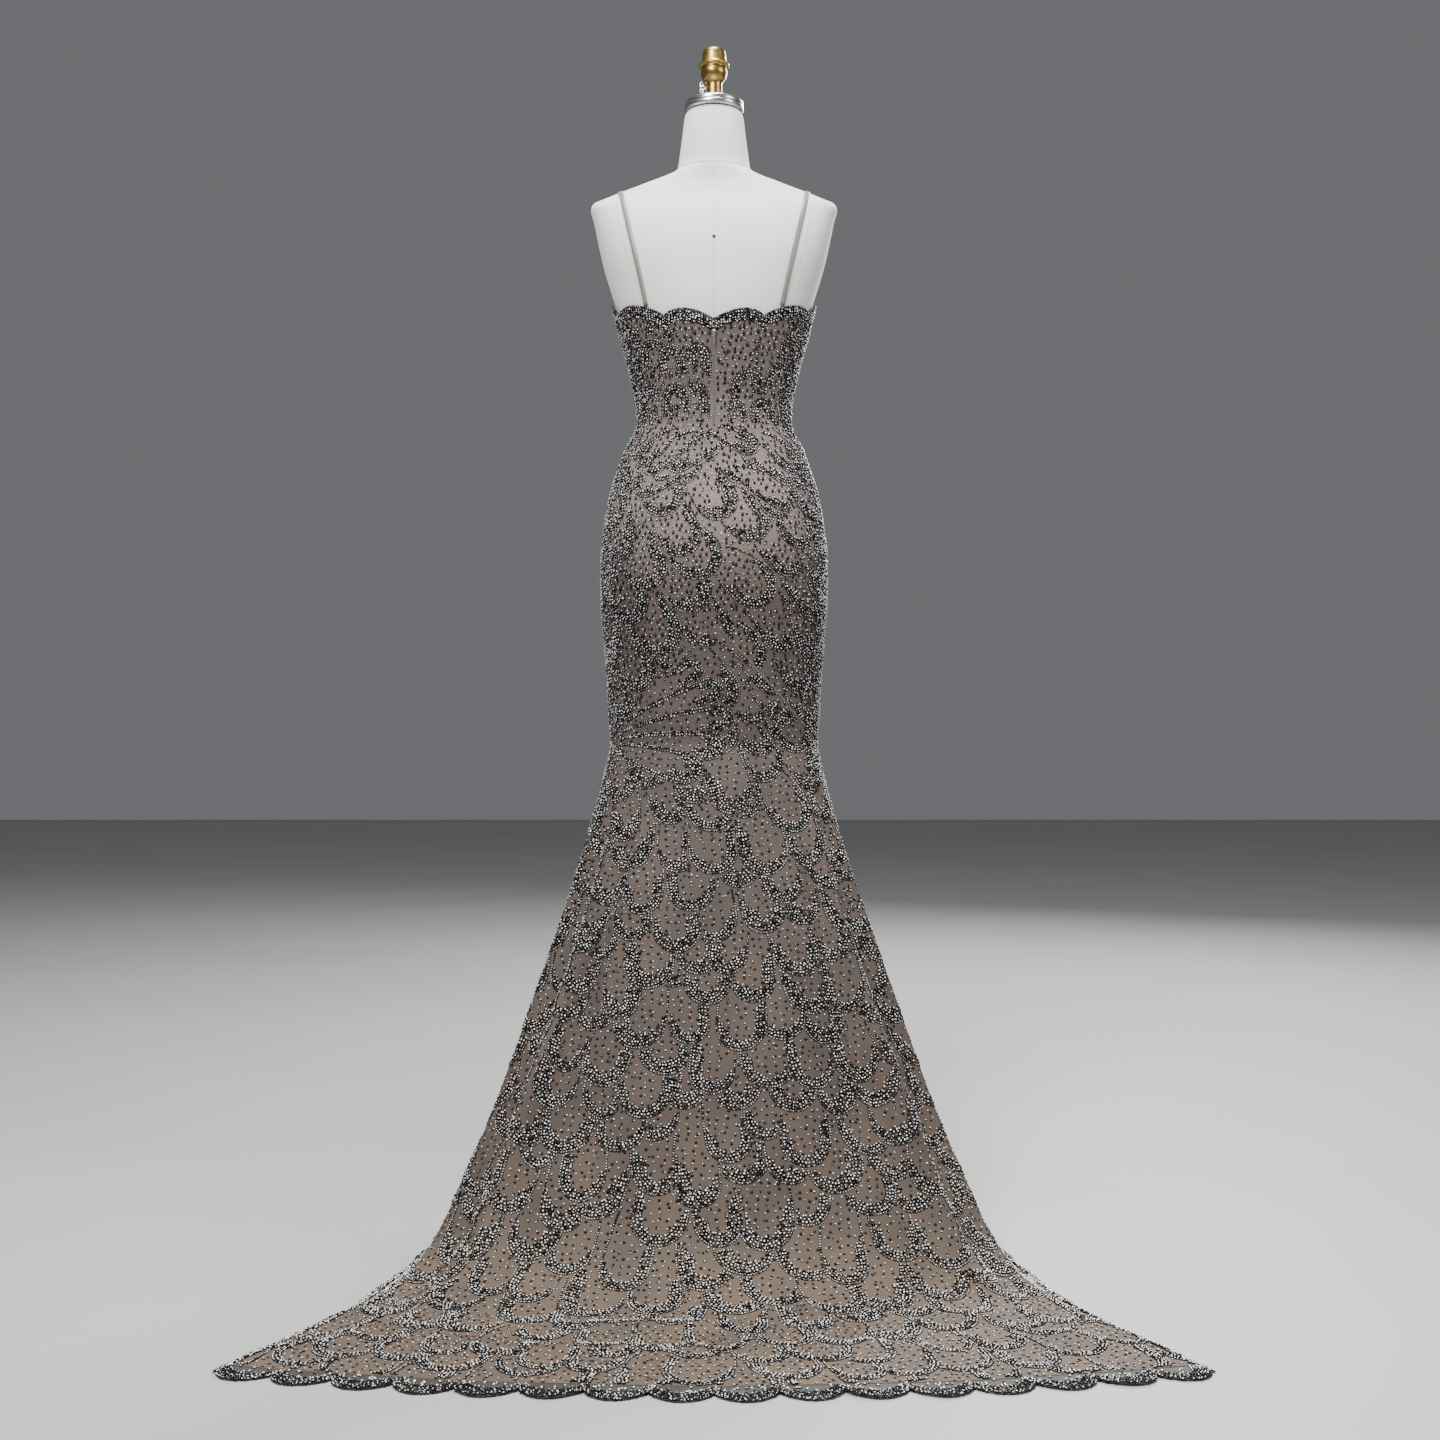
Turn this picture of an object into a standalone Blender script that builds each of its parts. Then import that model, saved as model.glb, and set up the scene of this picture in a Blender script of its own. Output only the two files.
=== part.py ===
"""Beaded trumpet evening gown with a train, on a limbless dress form with a pole and base.

Metres, +Z up. The wearer faces -Y, so +X is the wearer's left and the train lies along +Y.
The origin is on the floor, on the pole's axis. Angles round the gown are counted from the
centre back (0) through the wearer's left side (90) to the centre front (180).
"""
import math

import bmesh
import bpy
import numpy as np
from mathutils import Vector
from mathutils.bvhtree import BVHTree

# ---------------------------------------------------------------- driving sizes
CLOTH = 0.0020            # beaded net together with its lining
BAND_CLOTH = 0.0014       # the net alone, at the hem
SEAM = 0.0003             # gap between pieces that meet
EASE = 0.0030             # room between the form and the inside of the gown

WAIST = 1.180             # waist seam above the floor
KNEE = 0.705              # where the trumpet starts to open
V_APEX = 0.882            # centre back point of the seam that joins hip and train
V_SLOPE = 1.07            # how far that seam drops for each metre sideways
FRONT_SEAM = 0.713        # height of the same seam at the sides and front
V_LEVEL = 0.80            # the way sideways along the V is measured at this height

CUP_X = 0.073             # centre of each cup from the centre front
CUP_Z = 1.300             # height of the fullest point
CUP_SPREAD = 0.050
CUP_DEPTH = 0.030
FORM_CUP_DEPTH = 0.023    # the form's own bust, under the padded cups
CUP_FADE = 0.05           # the cups fade out this near to the sides

SLIT_ANGLE = 140.0        # the slit starts here, on the wearer's left thigh
SLIT_BACK = 22.0          # degrees its side edge swings back at the floor
SLIT_FRONT = 7.0          # degrees its front edge swings forward at the floor
SLIT_POWER = 1.25         # how the slit opens on its way down

BORDER = 0.020            # plain width of the sheer hem band
SCALLOP = 0.024           # height of the scallops beyond it
SCALLOP_CELLS = 4         # straight pieces in each scallop's edge
SCALLOP_ROUND = 0.7       # 1 for a sine's hump, less for a rounder one
TWIN_SCALLOPS = (54.0, 90.0)   # between these stations each column holds two hem scallops
FILLET_TRAIN = 0.100      # how softly the cloth bends on to the floor behind
FILLET_FRONT = 0.018      # and at the front
REACH_PLAIN = 0.05        # cloth that lies no further out than this has the front's fillet
REACH_SPAN = 0.20         # and over this much more it turns into the train's
TOP_SCALLOP = 0.013       # height of the scallops of the top edge
SPREAD_CURVE = 0.32       # 0 for a straight cone, more for a skirt that opens lower down

FORM_BOTTOM = 0.790       # flat underside of the form
POLE_RADIUS = 0.0160
BASE_RADIUS = 0.170
BASE_HEIGHT = 0.022
NECK_TOP = 1.671

STRAP_WIDTH = 0.0075
STRAP_THICK = 0.0016
STRAP_TOP_X = 0.143       # where a strap crosses the shoulder
STRAP_TOP_Z = 1.548       # height of the form there
STRAP_CENTRE_Z = 1.450    # a strap's turn is counted round this height
STRAP_REST = 0.0011       # room under a strap
STRAP_SAMPLES = 52
STRAP_CLEAR = 0.004       # a strap's last sample lies at least this far above the top edge
STRAP_SEWN = 0.0010       # and its end this far above it
STRAP_ENDS = (
    # turn along the strap in degrees, x of the foot, station of the foot
    (-44.0, 0.1000, 49.0),
    (222.0, 0.0945, 130.0),
)

# ---------------------------------------------------------------- tables
# The form, from the knee line up to the neck: half width, depth to the front, depth to the
# back, and how square the section is (2 is an ellipse).
BODY = (
    # z, half_width, front, back, square
    (0.705, 0.1515, 0.0925, 0.0995, 2.30),
    (0.750, 0.1545, 0.0935, 0.1035, 2.30),
    (0.800, 0.1567, 0.0955, 0.1095, 2.30),
    (0.862, 0.1613, 0.0975, 0.1175, 2.30),
    (0.925, 0.1662, 0.0995, 0.1225, 2.30),
    (0.985, 0.1662, 0.0995, 0.1195, 2.30),
    (1.030, 0.1618, 0.0975, 0.1135, 2.30),
    (1.085, 0.1525, 0.0935, 0.1035, 2.30),
    (1.120, 0.1418, 0.0895, 0.0955, 2.25),
    (1.155, 0.1292, 0.0865, 0.0885, 2.20),
    (1.190, 0.1127, 0.0845, 0.0845, 2.20),
    (1.215, 0.1122, 0.0865, 0.0845, 2.20),
    (1.245, 0.1167, 0.0915, 0.0875, 2.20),
    (1.290, 0.1277, 0.0985, 0.0925, 2.25),
    (1.330, 0.1390, 0.1025, 0.0970, 2.30),
    (1.370, 0.1490, 0.1040, 0.1000, 2.40),
    (1.435, 0.1685, 0.0960, 0.0970, 2.60),
    (1.480, 0.1785, 0.0860, 0.0880, 2.60),
    (1.504, 0.1835, 0.0770, 0.0790, 2.50),
    (1.520, 0.1878, 0.0670, 0.0690, 2.40),
    (1.527, 0.1862, 0.0600, 0.0630, 2.30),
    (1.532, 0.1760, 0.0555, 0.0590, 2.20),
    (1.545, 0.1450, 0.0490, 0.0545, 2.10),
    (1.553, 0.1230, 0.0460, 0.0520, 2.10),
    (1.561, 0.1010, 0.0450, 0.0510, 2.10),
    (1.568, 0.0800, 0.0460, 0.0510, 2.10),
    (1.575, 0.0640, 0.0490, 0.0510, 2.10),
    (1.581, 0.0568, 0.0510, 0.0500, 2.05),
    (1.590, 0.0543, 0.0525, 0.0485, 2.00),
    (1.618, 0.0503, 0.0520, 0.0470, 2.00),
    (1.648, 0.0465, 0.0490, 0.0445, 2.00),
    (1.661, 0.0450, 0.0475, 0.0430, 2.00),
    (1.667, 0.0434, 0.0457, 0.0413, 2.00),
    (NECK_TOP, 0.0402, 0.0425, 0.0385, 2.00),
)

# Stations round one half of the gown, in degrees; each is a column of every panel.
HALF_STATIONS = (
    0.0, 6.75, 13.5, 20.25, 27.0, 33.75, 40.5, 47.25, 54.0, 62.5, 71.0, 80.5, 90.0, 100.0,
    110.0, 120.0, 130.0, 140.0, 150.0, 154.0, 158.0, 162.0, 166.0, 170.0, 174.0, 177.0, 180.0,
)

# The low points between the scallops of the top edge, on each half.
TOP_EDGE = (
    # degrees, z
    (0.0, 1.331),
    (27.0, 1.338),
    (71.0, 1.352),
    (110.0, 1.372),
    (150.0, 1.366),
    (166.0, 1.326),
    (180.0, 1.285),
)

# Where the hanging cloth meets the floor, and the low points of the scalloped hem.
FLOOR_PLAN = (
    # degrees, floor_x, floor_y, hem_x, hem_y
    (0.0, 0.000, 0.450, 0.000, 0.762),
    (27.0, 0.205, 0.447, 0.284, 0.744),
    (47.25, 0.322, 0.420, 0.492, 0.708),
    (54.0, 0.350, 0.400, 0.557, 0.692),
    (62.5, 0.374, 0.362, 0.511, 0.602),
    (71.0, 0.384, 0.300, 0.446, 0.468),
    (80.5, 0.371, 0.205, 0.403, 0.287),
    (90.0, 0.339, 0.095, 0.374, 0.115),
    (110.0, 0.309, -0.060, 0.352, -0.072),
    (130.0, 0.252, -0.185, 0.285, -0.213),
    (150.0, 0.158, -0.266, 0.178, -0.306),
    (180.0, 0.000, -0.305, 0.000, -0.350),
)

# Soft folds of the lower skirt: where each lies, how wide, how far it stands out (or in),
# and how far down the skirt it starts.
FOLDS = (
    # degrees, spread, depth, start
    (0.0, 9.0, -0.010, 0.35),
    (17.0, 6.0, 0.012, 0.40),
    (32.0, 6.0, -0.012, 0.30),
    (47.0, 6.0, 0.013, 0.25),
    (66.0, 6.0, -0.009, 0.45),
    (100.0, 7.0, 0.010, 0.45),
    (120.0, 6.0, -0.010, 0.40),
    (162.0, 7.0, 0.012, 0.35),
    (186.0, 7.0, -0.012, 0.30),
    (212.0, 8.0, 0.013, 0.30),
    (238.0, 7.0, -0.010, 0.40),
    (262.0, 7.0, 0.010, 0.45),
    (281.0, 6.0, 0.011, 0.50),
    (297.0, 6.0, -0.010, 0.40),
    (313.0, 6.0, 0.013, 0.25),
    (328.0, 6.0, -0.013, 0.30),
    (343.0, 6.0, 0.013, 0.35),
)
FOLD_FADE = 0.80          # the train's folds fade out from this share of the way down

BODICE_ROWS = 7
HIP_ROWS = 9
HANG_ROWS = 9
BEND_ROWS = 3
FLAT_ROWS = 2
FORM_COLUMNS = 36


# ---------------------------------------------------------------- small maths
def smooth_column(table, column, at):
    """Monotone cubic through one column of a table whose first column rises."""
    xs = [row[0] for row in table]
    ys = [row[column] for row in table]
    at = min(max(at, xs[0]), xs[-1])
    i = min(max(int(np.searchsorted(xs, at)) - 1, 0), len(xs) - 2)

    def slope(k):
        if k == 0 or k == len(xs) - 1:
            return 0.0
        left = (ys[k] - ys[k - 1]) / (xs[k] - xs[k - 1])
        right = (ys[k + 1] - ys[k]) / (xs[k + 1] - xs[k])
        if left * right <= 0.0:
            return 0.0
        return 2.0 * left * right / (left + right)

    h = xs[i + 1] - xs[i]
    t = (at - xs[i]) / h
    return ((2 * t ** 3 - 3 * t ** 2 + 1) * ys[i] + (t ** 3 - 2 * t ** 2 + t) * h * slope(i)
            + (3 * t ** 2 - 2 * t ** 3) * ys[i + 1] + (t ** 3 - t ** 2) * h * slope(i + 1))


def straight_column(table, column, at):
    return float(np.interp(at, [row[0] for row in table], [row[column] for row in table]))


def fold_back(degrees):
    """The angle on one half, 0 to 180, and the side it lies on."""
    degrees = degrees % 360.0
    if degrees > 180.0:
        return 360.0 - degrees, -1.0
    return degrees, 1.0


def signed_power(value, power):
    return math.copysign(abs(value) ** power, value)


def ramp(value):
    value = min(max(value, 0.0), 1.0)
    return value * value * (3.0 - 2.0 * value)


# ---------------------------------------------------------------- the body's surface
def body_point(degrees, z, grow, cup_depth=CUP_DEPTH):
    """A point of the form, or of a surface that lies grow outside it."""
    half_width = smooth_column(BODY, 1, z) + grow
    front = smooth_column(BODY, 2, z) + grow
    back = smooth_column(BODY, 3, z) + grow
    power = 2.0 / smooth_column(BODY, 4, z)
    angle = math.radians(degrees)
    x = half_width * signed_power(math.sin(angle), power)
    y = (back if math.cos(angle) > 0 else front) * signed_power(math.cos(angle), power)
    if y < 0.0:
        for side in (-1.0, 1.0):
            away = ((x - side * CUP_X) / CUP_SPREAD) ** 2 + ((z - CUP_Z) / CUP_SPREAD) ** 2
            y -= cup_depth * math.exp(-away) * min(1.0, -y / CUP_FADE)
    return np.array((x, y, z))


GOWN = EASE + CLOTH       # the gown's outer surface lies this far outside the form


def top_edge(degrees):
    """Height of the scalloped top edge."""
    half, _ = fold_back(degrees)
    valleys = [row[0] for row in TOP_EDGE]
    i = min(max(int(np.searchsorted(valleys, half + 1e-6)) - 1, 0), len(valleys) - 2)
    along = (half - valleys[i]) / (valleys[i + 1] - valleys[i])
    chord = TOP_EDGE[i][1] + (TOP_EDGE[i + 1][1] - TOP_EDGE[i][1]) * along
    return chord + TOP_SCALLOP * math.sin(math.pi * along) ** SCALLOP_ROUND


def hip_seam(degrees):
    """Height of the seam between the hip panels and the lower skirt."""
    if math.cos(math.radians(degrees)) <= 0.0:
        return FRONT_SEAM
    sideways = abs(body_point(degrees, V_LEVEL, GOWN)[0])
    return max(V_APEX - V_SLOPE * sideways, FRONT_SEAM)


# ---------------------------------------------------------------- the lower skirt
def floor_plan(degrees):
    """The landing point and the hem point, on the floor."""
    half, side = fold_back(degrees)
    along_hem = straight_column if half < 90.0 else smooth_column
    plan = [smooth_column(FLOOR_PLAN, k, half) for k in (1, 2)]
    plan += [along_hem(FLOOR_PLAN, k, half) for k in (3, 4)]
    landing = np.array((side * plan[0], plan[1], 0.0))
    hem = np.array((side * plan[2], plan[3], 0.0))
    return landing, hem


def skirt_column(degrees, station):
    """Points from the hip seam to the hem's plain edge, row by row.

    degrees is where the column comes down, station where it starts at the seam.
    """
    landing, hem = floor_plan(degrees)
    lift = np.array((0.0, 0.0, CLOTH))
    landing = landing + lift
    hem = hem + lift
    reach = np.linalg.norm(hem - landing)
    behind = ramp((reach - REACH_PLAIN) / REACH_SPAN)
    fillet = FILLET_FRONT + (FILLET_TRAIN - FILLET_FRONT) * behind
    run = (hem - landing) / reach

    knee = body_point(station, KNEE, GOWN)
    hang = [body_point(station, z, GOWN)
            for z in np.linspace(hip_seam(station), KNEE, 8)[:-1]]
    for g in np.linspace(0.0, 1.0, 40):
        spread = (1.0 - SPREAD_CURVE) * g + SPREAD_CURVE * g * g
        point = knee + (landing - knee) * spread
        point[2] = knee[2] + (landing[2] - knee[2]) * g
        hang.append(point)
    hang = np.array(hang)
    along = np.concatenate(((0.0,), np.cumsum(np.linalg.norm(np.diff(hang, axis=0), axis=1))))
    stop = along[-1] - fillet
    rows = []
    for s in np.linspace(0.0, stop, HANG_ROWS + 1):
        rows.append([np.interp(s, along, hang[:, k]) for k in range(3)])
    start = np.array(rows[-1])
    end = landing + run * fillet
    for t in np.linspace(0.0, 1.0, BEND_ROWS + 1)[1:]:
        rows.append((1 - t) ** 2 * start + 2 * t * (1 - t) * landing + t ** 2 * end)
    edge = hem - run * BORDER
    for t in np.linspace(0.0, 1.0, FLAT_ROWS + 1)[1:]:
        rows.append(end + (edge - end) * t)
    rows = np.array(rows)

    outward = landing / np.linalg.norm(landing[:2])
    outward[2] = 0.0
    for k in range(HANG_ROWS + 1):
        down = k / HANG_ROWS
        fade = 1.0 - behind * ramp((down - FOLD_FADE) / (1.0 - FOLD_FADE))
        rows[k] += outward * fold_depth(degrees, down) * fade
    for k in range(1, BEND_ROWS):
        share = (1.0 - behind) * (1.0 - k / BEND_ROWS)
        rows[HANG_ROWS + k] += outward * fold_depth(degrees, 1.0) * share
    return rows


def fold_depth(degrees, down):
    depth = 0.0
    for where, spread, height, start in FOLDS:
        away = (degrees - where + 180.0) % 360.0 - 180.0
        depth += height * math.exp(-(away / spread) ** 2) * ramp((down - start) / (1.0 - start))
    return depth


def slit_shift(station, down, front):
    """How far a column swings away from the slit on its way down."""
    if front:
        share = max(0.0, (180.0 - station) / (180.0 - SLIT_ANGLE))
        return SLIT_FRONT * share ** 1.5 * down ** SLIT_POWER
    share = max(0.0, (station - 90.0) / (SLIT_ANGLE - 90.0))
    return -SLIT_BACK * share ** 1.5 * down ** SLIT_POWER


def skirt_grid(stations, front=None):
    """Outer points of a lower panel; rows go down, columns follow the stations."""
    rows = HANG_ROWS + BEND_ROWS + FLAT_ROWS + 1
    grid = np.zeros((rows, len(stations), 3))
    for c, station in enumerate(stations):
        if front is None:
            grid[:, c] = skirt_column(station, station)
            continue
        for r in range(rows):
            down = min(1.0, r / (HANG_ROWS + 1.0))
            degrees = station + slit_shift(station, down, front)
            grid[r, c] = skirt_column(degrees, station)[r]
    return grid


# ---------------------------------------------------------------- walls
def grid_normals(grid, closed=False):
    if closed:
        across = np.roll(grid, -1, axis=1) - np.roll(grid, 1, axis=1)
    else:
        across = np.gradient(grid, axis=1)
    down = np.gradient(grid, axis=0)
    normals = np.cross(across, down)
    return normals / np.linalg.norm(normals, axis=2)[:, :, None]


def pull_in(grid, sides, gap=SEAM / 2):
    """Draws the named edges of a grid inwards by half a seam's gap."""
    grid = grid.copy()
    for side in sides:
        if side == "top":
            edge, step = grid[0], grid[1] - grid[0]
        elif side == "bottom":
            edge, step = grid[-1], grid[-2] - grid[-1]
        elif side == "first":
            edge, step = grid[:, 0], grid[:, 1] - grid[:, 0]
        else:
            edge, step = grid[:, -1], grid[:, -2] - grid[:, -1]
        edge += gap * step / np.linalg.norm(step, axis=1)[:, None]
    return grid


def wall(name, outer, inner, material):
    """A closed wall between two grids of points."""
    rows, columns = outer.shape[:2]
    mesh = bmesh.new()
    out = [[mesh.verts.new(p) for p in line] for line in outer]
    ins = [[mesh.verts.new(p) for p in line] for line in inner]
    for r in range(rows - 1):
        for c in range(columns - 1):
            a, b = out[r][c], out[r][c + 1]
            d, e = out[r + 1][c + 1], out[r + 1][c]
            mesh.faces.new((a, b, d))
            mesh.faces.new((a, d, e))
            a, b = ins[r][c], ins[r][c + 1]
            d, e = ins[r + 1][c + 1], ins[r + 1][c]
            mesh.faces.new((a, d, b))
            mesh.faces.new((a, e, d))
    rim = [(r, 0) for r in range(rows)]
    rim += [(rows - 1, c) for c in range(1, columns)]
    rim += [(r, columns - 1) for r in range(rows - 2, -1, -1)]
    rim += [(0, c) for c in range(columns - 2, 0, -1)]
    for (r, c), (s, d) in zip(rim, rim[1:] + rim[:1]):
        mesh.faces.new((out[r][c], out[s][d], ins[s][d]))
        mesh.faces.new((out[r][c], ins[s][d], ins[r][c]))
    return finish_mesh(name, mesh, material)


def finish_mesh(name, mesh, material, smooth_angle=40.0):
    bmesh.ops.recalc_face_normals(mesh, faces=mesh.faces)
    data = bpy.data.meshes.new(name)
    mesh.to_mesh(data)
    mesh.free()
    data.materials.append(material)
    data.shade_smooth()
    data.set_sharp_from_angle(angle=math.radians(smooth_angle))
    piece = bpy.data.objects.new(name, data)
    bpy.context.scene.collection.objects.link(piece)
    return piece


def loft(name, rings, material, smooth_angle=40.0):
    """A closed solid through rings of points, with flat ends."""
    mesh = bmesh.new()
    loops = [[mesh.verts.new(p) for p in ring] for ring in rings]
    count = len(rings[0])
    for low, high in zip(loops, loops[1:]):
        for i in range(count):
            j = (i + 1) % count
            mesh.faces.new((low[i], low[j], high[j], high[i]))
    mesh.faces.new(loops[0][::-1])
    mesh.faces.new(loops[-1])
    return finish_mesh(name, mesh, material, smooth_angle)


def turned(name, profile, material, sides=24):
    """A turned solid on the Z axis from (radius, z) pairs, bottom to top."""
    rings = []
    for radius, z in profile:
        rings.append([(radius * math.cos(2 * math.pi * i / sides),
                       radius * math.sin(2 * math.pi * i / sides), z) for i in range(sides)])
    return loft(name, rings, material)


def make_material(name, colour, roughness, metallic=0.0):
    material = bpy.data.materials.new(name)
    material.use_nodes = True
    shader = material.node_tree.nodes["Principled BSDF"]
    shader.inputs["Base Color"].default_value = (*colour, 1.0)
    shader.inputs["Roughness"].default_value = roughness
    shader.inputs["Metallic"].default_value = metallic
    return material


# ---------------------------------------------------------------- the gown's panels
def around(first, last):
    """Stations from one angle to another, the second past 180 or below 0 where needed."""
    full = [-h for h in HALF_STATIONS[:0:-1]] + list(HALF_STATIONS)
    full += [360.0 - h for h in HALF_STATIONS[-2::-1]]
    return [d for d in full if first - 1e-6 <= d <= last + 1e-6]


def build_upper(net):
    """Bodice and hip panels, all cut from one smooth surface."""
    stations = around(0.0, 360.0)[:-1]
    rows = []
    for r in range(BODICE_ROWS):
        rows.append([body_point(d, top_edge(d) + (WAIST - top_edge(d)) * r / BODICE_ROWS, GOWN)
                     for d in stations])
    for r in range(HIP_ROWS + 1):
        rows.append([body_point(d, WAIST + (hip_seam(d) - WAIST) * r / HIP_ROWS, GOWN)
                     for d in stations])
    grid = np.array(rows)
    normals = grid_normals(grid, closed=True)
    outer = np.concatenate((grid, grid[:, :1]), axis=1)
    normals = np.concatenate((normals, normals[:, :1]), axis=1)
    stations = stations + [360.0]

    def cut(name, first_row, last_row, first, last, sides):
        columns = [i for i, d in enumerate(stations) if first - 1e-6 <= d <= last + 1e-6]
        part = outer[first_row:last_row + 1, columns[0]:columns[-1] + 1]
        lean = normals[first_row:last_row + 1, columns[0]:columns[-1] + 1]
        wall(name, pull_in(part, sides), pull_in(part - lean * CLOTH, sides), net)

    waist = BODICE_ROWS
    seam = BODICE_ROWS + HIP_ROWS
    cut("bodice_back_left", 0, waist, 0.0, 90.0, ("bottom", "first", "last"))
    cut("bodice_front", 0, waist, 90.0, 270.0, ("bottom", "first", "last"))
    cut("bodice_back_right", 0, waist, 270.0, 360.0, ("bottom", "first", "last"))
    cut("hip_back_left", waist, seam, 0.0, 90.0, ("top", "bottom", "first", "last"))
    cut("hip_front", waist, seam, 90.0, 270.0, ("top", "bottom", "first", "last"))
    cut("hip_back_right", waist, seam, 270.0, 360.0, ("top", "bottom", "first", "last"))
    seam_normals = dict(zip(stations, normals[-1]))
    return seam_normals


def build_lower(net, sheer, seam_normals):
    """Train, front and side panels of the lower skirt, and their sheer scalloped bands."""
    panels = (
        # name, first, last, front
        ("skirt_train", -90.0, 90.0, None),
        ("skirt_side_left", 90.0, SLIT_ANGLE, False),
        ("skirt_front", SLIT_ANGLE, 270.0, True),
    )
    for name, first, last, front in panels:
        stations = around(first, last)
        grid = skirt_grid(stations, front)
        normals = grid_normals(grid)
        for c, station in enumerate(stations):
            normals[0, c] = seam_normals[station % 360.0]
        for column, angle in ((0, first), (-1, last)):
            if angle != SLIT_ANGLE:
                normals[1:, column] = side_normals(angle)[1:]
        inner = grid - normals * CLOTH
        inner[:, :, 2] = np.maximum(inner[:, :, 2], 0.0)
        sides = ("top", "bottom", "first", "last")
        wall(name, pull_in(grid, sides), pull_in(inner, sides), net)
        build_band("hem_band" + name[len("skirt"):], grid[-1], stations, front, sheer)


def side_normals(angle):
    """Normals along a side seam, shared by the two panels that meet there."""
    before, after = (9.5, 10.0) if angle > 0 else (10.0, 9.5)
    return grid_normals(skirt_grid([angle - before, angle, angle + after]))[:, 1]


def build_band(name, edge, stations, front, sheer):
    """The sheer band beyond a panel's edge, with one or two scallops for each station."""
    lines = []
    for c in range(len(stations) - 1):
        middle = abs((stations[c] + stations[c + 1]) / 2)
        scallops = 2 if TWIN_SCALLOPS[0] < middle < TWIN_SCALLOPS[1] else 1
        cells = scallops * SCALLOP_CELLS
        for k in range(cells + (c == len(stations) - 2)):
            t = k / cells
            root = edge[c] * (1 - t) + edge[c + 1] * t
            degrees = []
            for column in (c, c + 1):
                shift = 0.0 if front is None else slit_shift(stations[column], 1.0, front)
                degrees.append(stations[column] + shift)
            landing, hem = zip(*(floor_plan(d) for d in degrees))
            run = [(h - g) / np.linalg.norm(h - g) for h, g in zip(hem, landing)]
            out = run[0] * (1 - t) + run[1] * t
            height = SCALLOP * abs(math.sin(math.pi * t * scallops)) ** SCALLOP_ROUND
            tip = root + out * (BORDER + height)
            lines.append((root, tip))
    outer = np.array(lines).transpose(1, 0, 2)
    outer[:, :, 2] = BAND_CLOTH
    inner = outer.copy()
    inner[:, :, 2] = 0.0
    sides = ("top", "first", "last")
    wall(name, pull_in(outer, sides), pull_in(inner, sides), sheer)


def build_lining(satin, seam_normals):
    """The satin panel that shows in the slit, sewn in under the hip seam."""
    first, last = 110.0, 172.5
    stations = around(first, last)
    top_gap = CLOTH + SEAM
    low_gap = 0.009           # depth of the lining's face under the net, lower down
    tuck = 0.012              # how far it runs up inside the hip seam
    grid = np.array([np.vstack((body_point(d, hip_seam(d) + tuck, GOWN)[None],
                                skirt_column(d, d)[:HANG_ROWS + 1]))
                     for d in stations]).transpose(1, 0, 2)
    normals = grid_normals(grid)
    for c, station in enumerate(stations):
        normals[:2, c] = seam_normals[station]
    depth = np.array([top_gap + (low_gap - top_gap) * ramp((r - 1) / 2.0)
                      for r in range(HANG_ROWS + 2)])
    outer = grid - normals * depth[:, None, None]
    inner = outer - normals * BAND_CLOTH
    wall("slit_lining", outer, inner, satin)


# ---------------------------------------------------------------- form, straps and metalwork
def build_form(cover):
    """The limbless form: torso, shoulders and neck in one smooth solid."""
    low_edge = {FORM_BOTTOM: -0.018, FORM_BOTTOM + 0.006: -0.007, FORM_BOTTOM + 0.022: 0.0}
    levels = [row[0] for row in BODY if row[0] > FORM_BOTTOM + 0.03]
    levels += [*low_edge, 1.350, 1.400]
    rings = []
    for z in sorted(levels):
        inset = low_edge.get(z, 0.0)
        rings.append([body_point(-360.0 * i / FORM_COLUMNS, z, inset, FORM_CUP_DEPTH)
                      for i in range(FORM_COLUMNS)])
    return loft("form_torso", rings, cover)


def build_straps(form, satin):
    """Two thin straps over the shoulders, resting on the form."""
    mesh = bmesh.new()
    mesh.from_mesh(form.data)
    surface = BVHTree.FromBMesh(mesh)
    first, last = STRAP_ENDS
    ray_length, tries = 0.3, 6
    for side, name in ((1.0, "strap_left"), (-1.0, "strap_right")):
        path = []
        for turn in np.linspace(first[0], last[0], STRAP_SAMPLES + 1):
            end = first if turn < 90.0 else last
            low = top_edge(end[2])
            x = STRAP_TOP_X
            direction = Vector((0.0, math.cos(math.radians(turn)), math.sin(math.radians(turn))))
            for _ in range(tries):
                origin = Vector((side * x, 0.0, STRAP_CENTRE_Z)) + direction * ray_length
                hit, normal, _, _ = surface.ray_cast(origin, -direction)
                share = min(max((hit.z - low) / (STRAP_TOP_Z - low), 0.0), 1.0)
                x = end[1] + (STRAP_TOP_X - end[1]) * share
            path.append((np.array(hit), np.array(normal)))
        path = [p for p in path if p[0][2] > strap_foot(p[0]) + STRAP_CLEAR]
        path = [(strap_end(path[0]), path[0][1])] + path + [(strap_end(path[-1]), path[-1][1])]
        points = np.array([p for p, _ in path])
        tangents = np.gradient(points, axis=0)
        rings = []
        for (point, normal), tangent in zip(path, tangents):
            tangent = tangent / np.linalg.norm(tangent)
            normal = normal - tangent * np.dot(normal, tangent)
            normal = normal / np.linalg.norm(normal)
            across = np.cross(tangent, normal) * STRAP_WIDTH / 2
            low = normal * STRAP_REST
            high = normal * (STRAP_REST + STRAP_THICK)
            rings.append([point + low - across, point + low + across,
                          point + high + across, point + high - across])
        loft(name, rings, satin)
    mesh.free()


def strap_foot(point):
    """Height of the top edge where the strap that runs through a point is sewn on."""
    back, front = STRAP_ENDS
    return top_edge(back[2] if point[1] > 0 else front[2])


def strap_end(sample):
    """The strap's last point, straight below its lowest sample."""
    point = sample[0].copy()
    point[2] = strap_foot(point) + STRAP_SEWN
    return point


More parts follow.
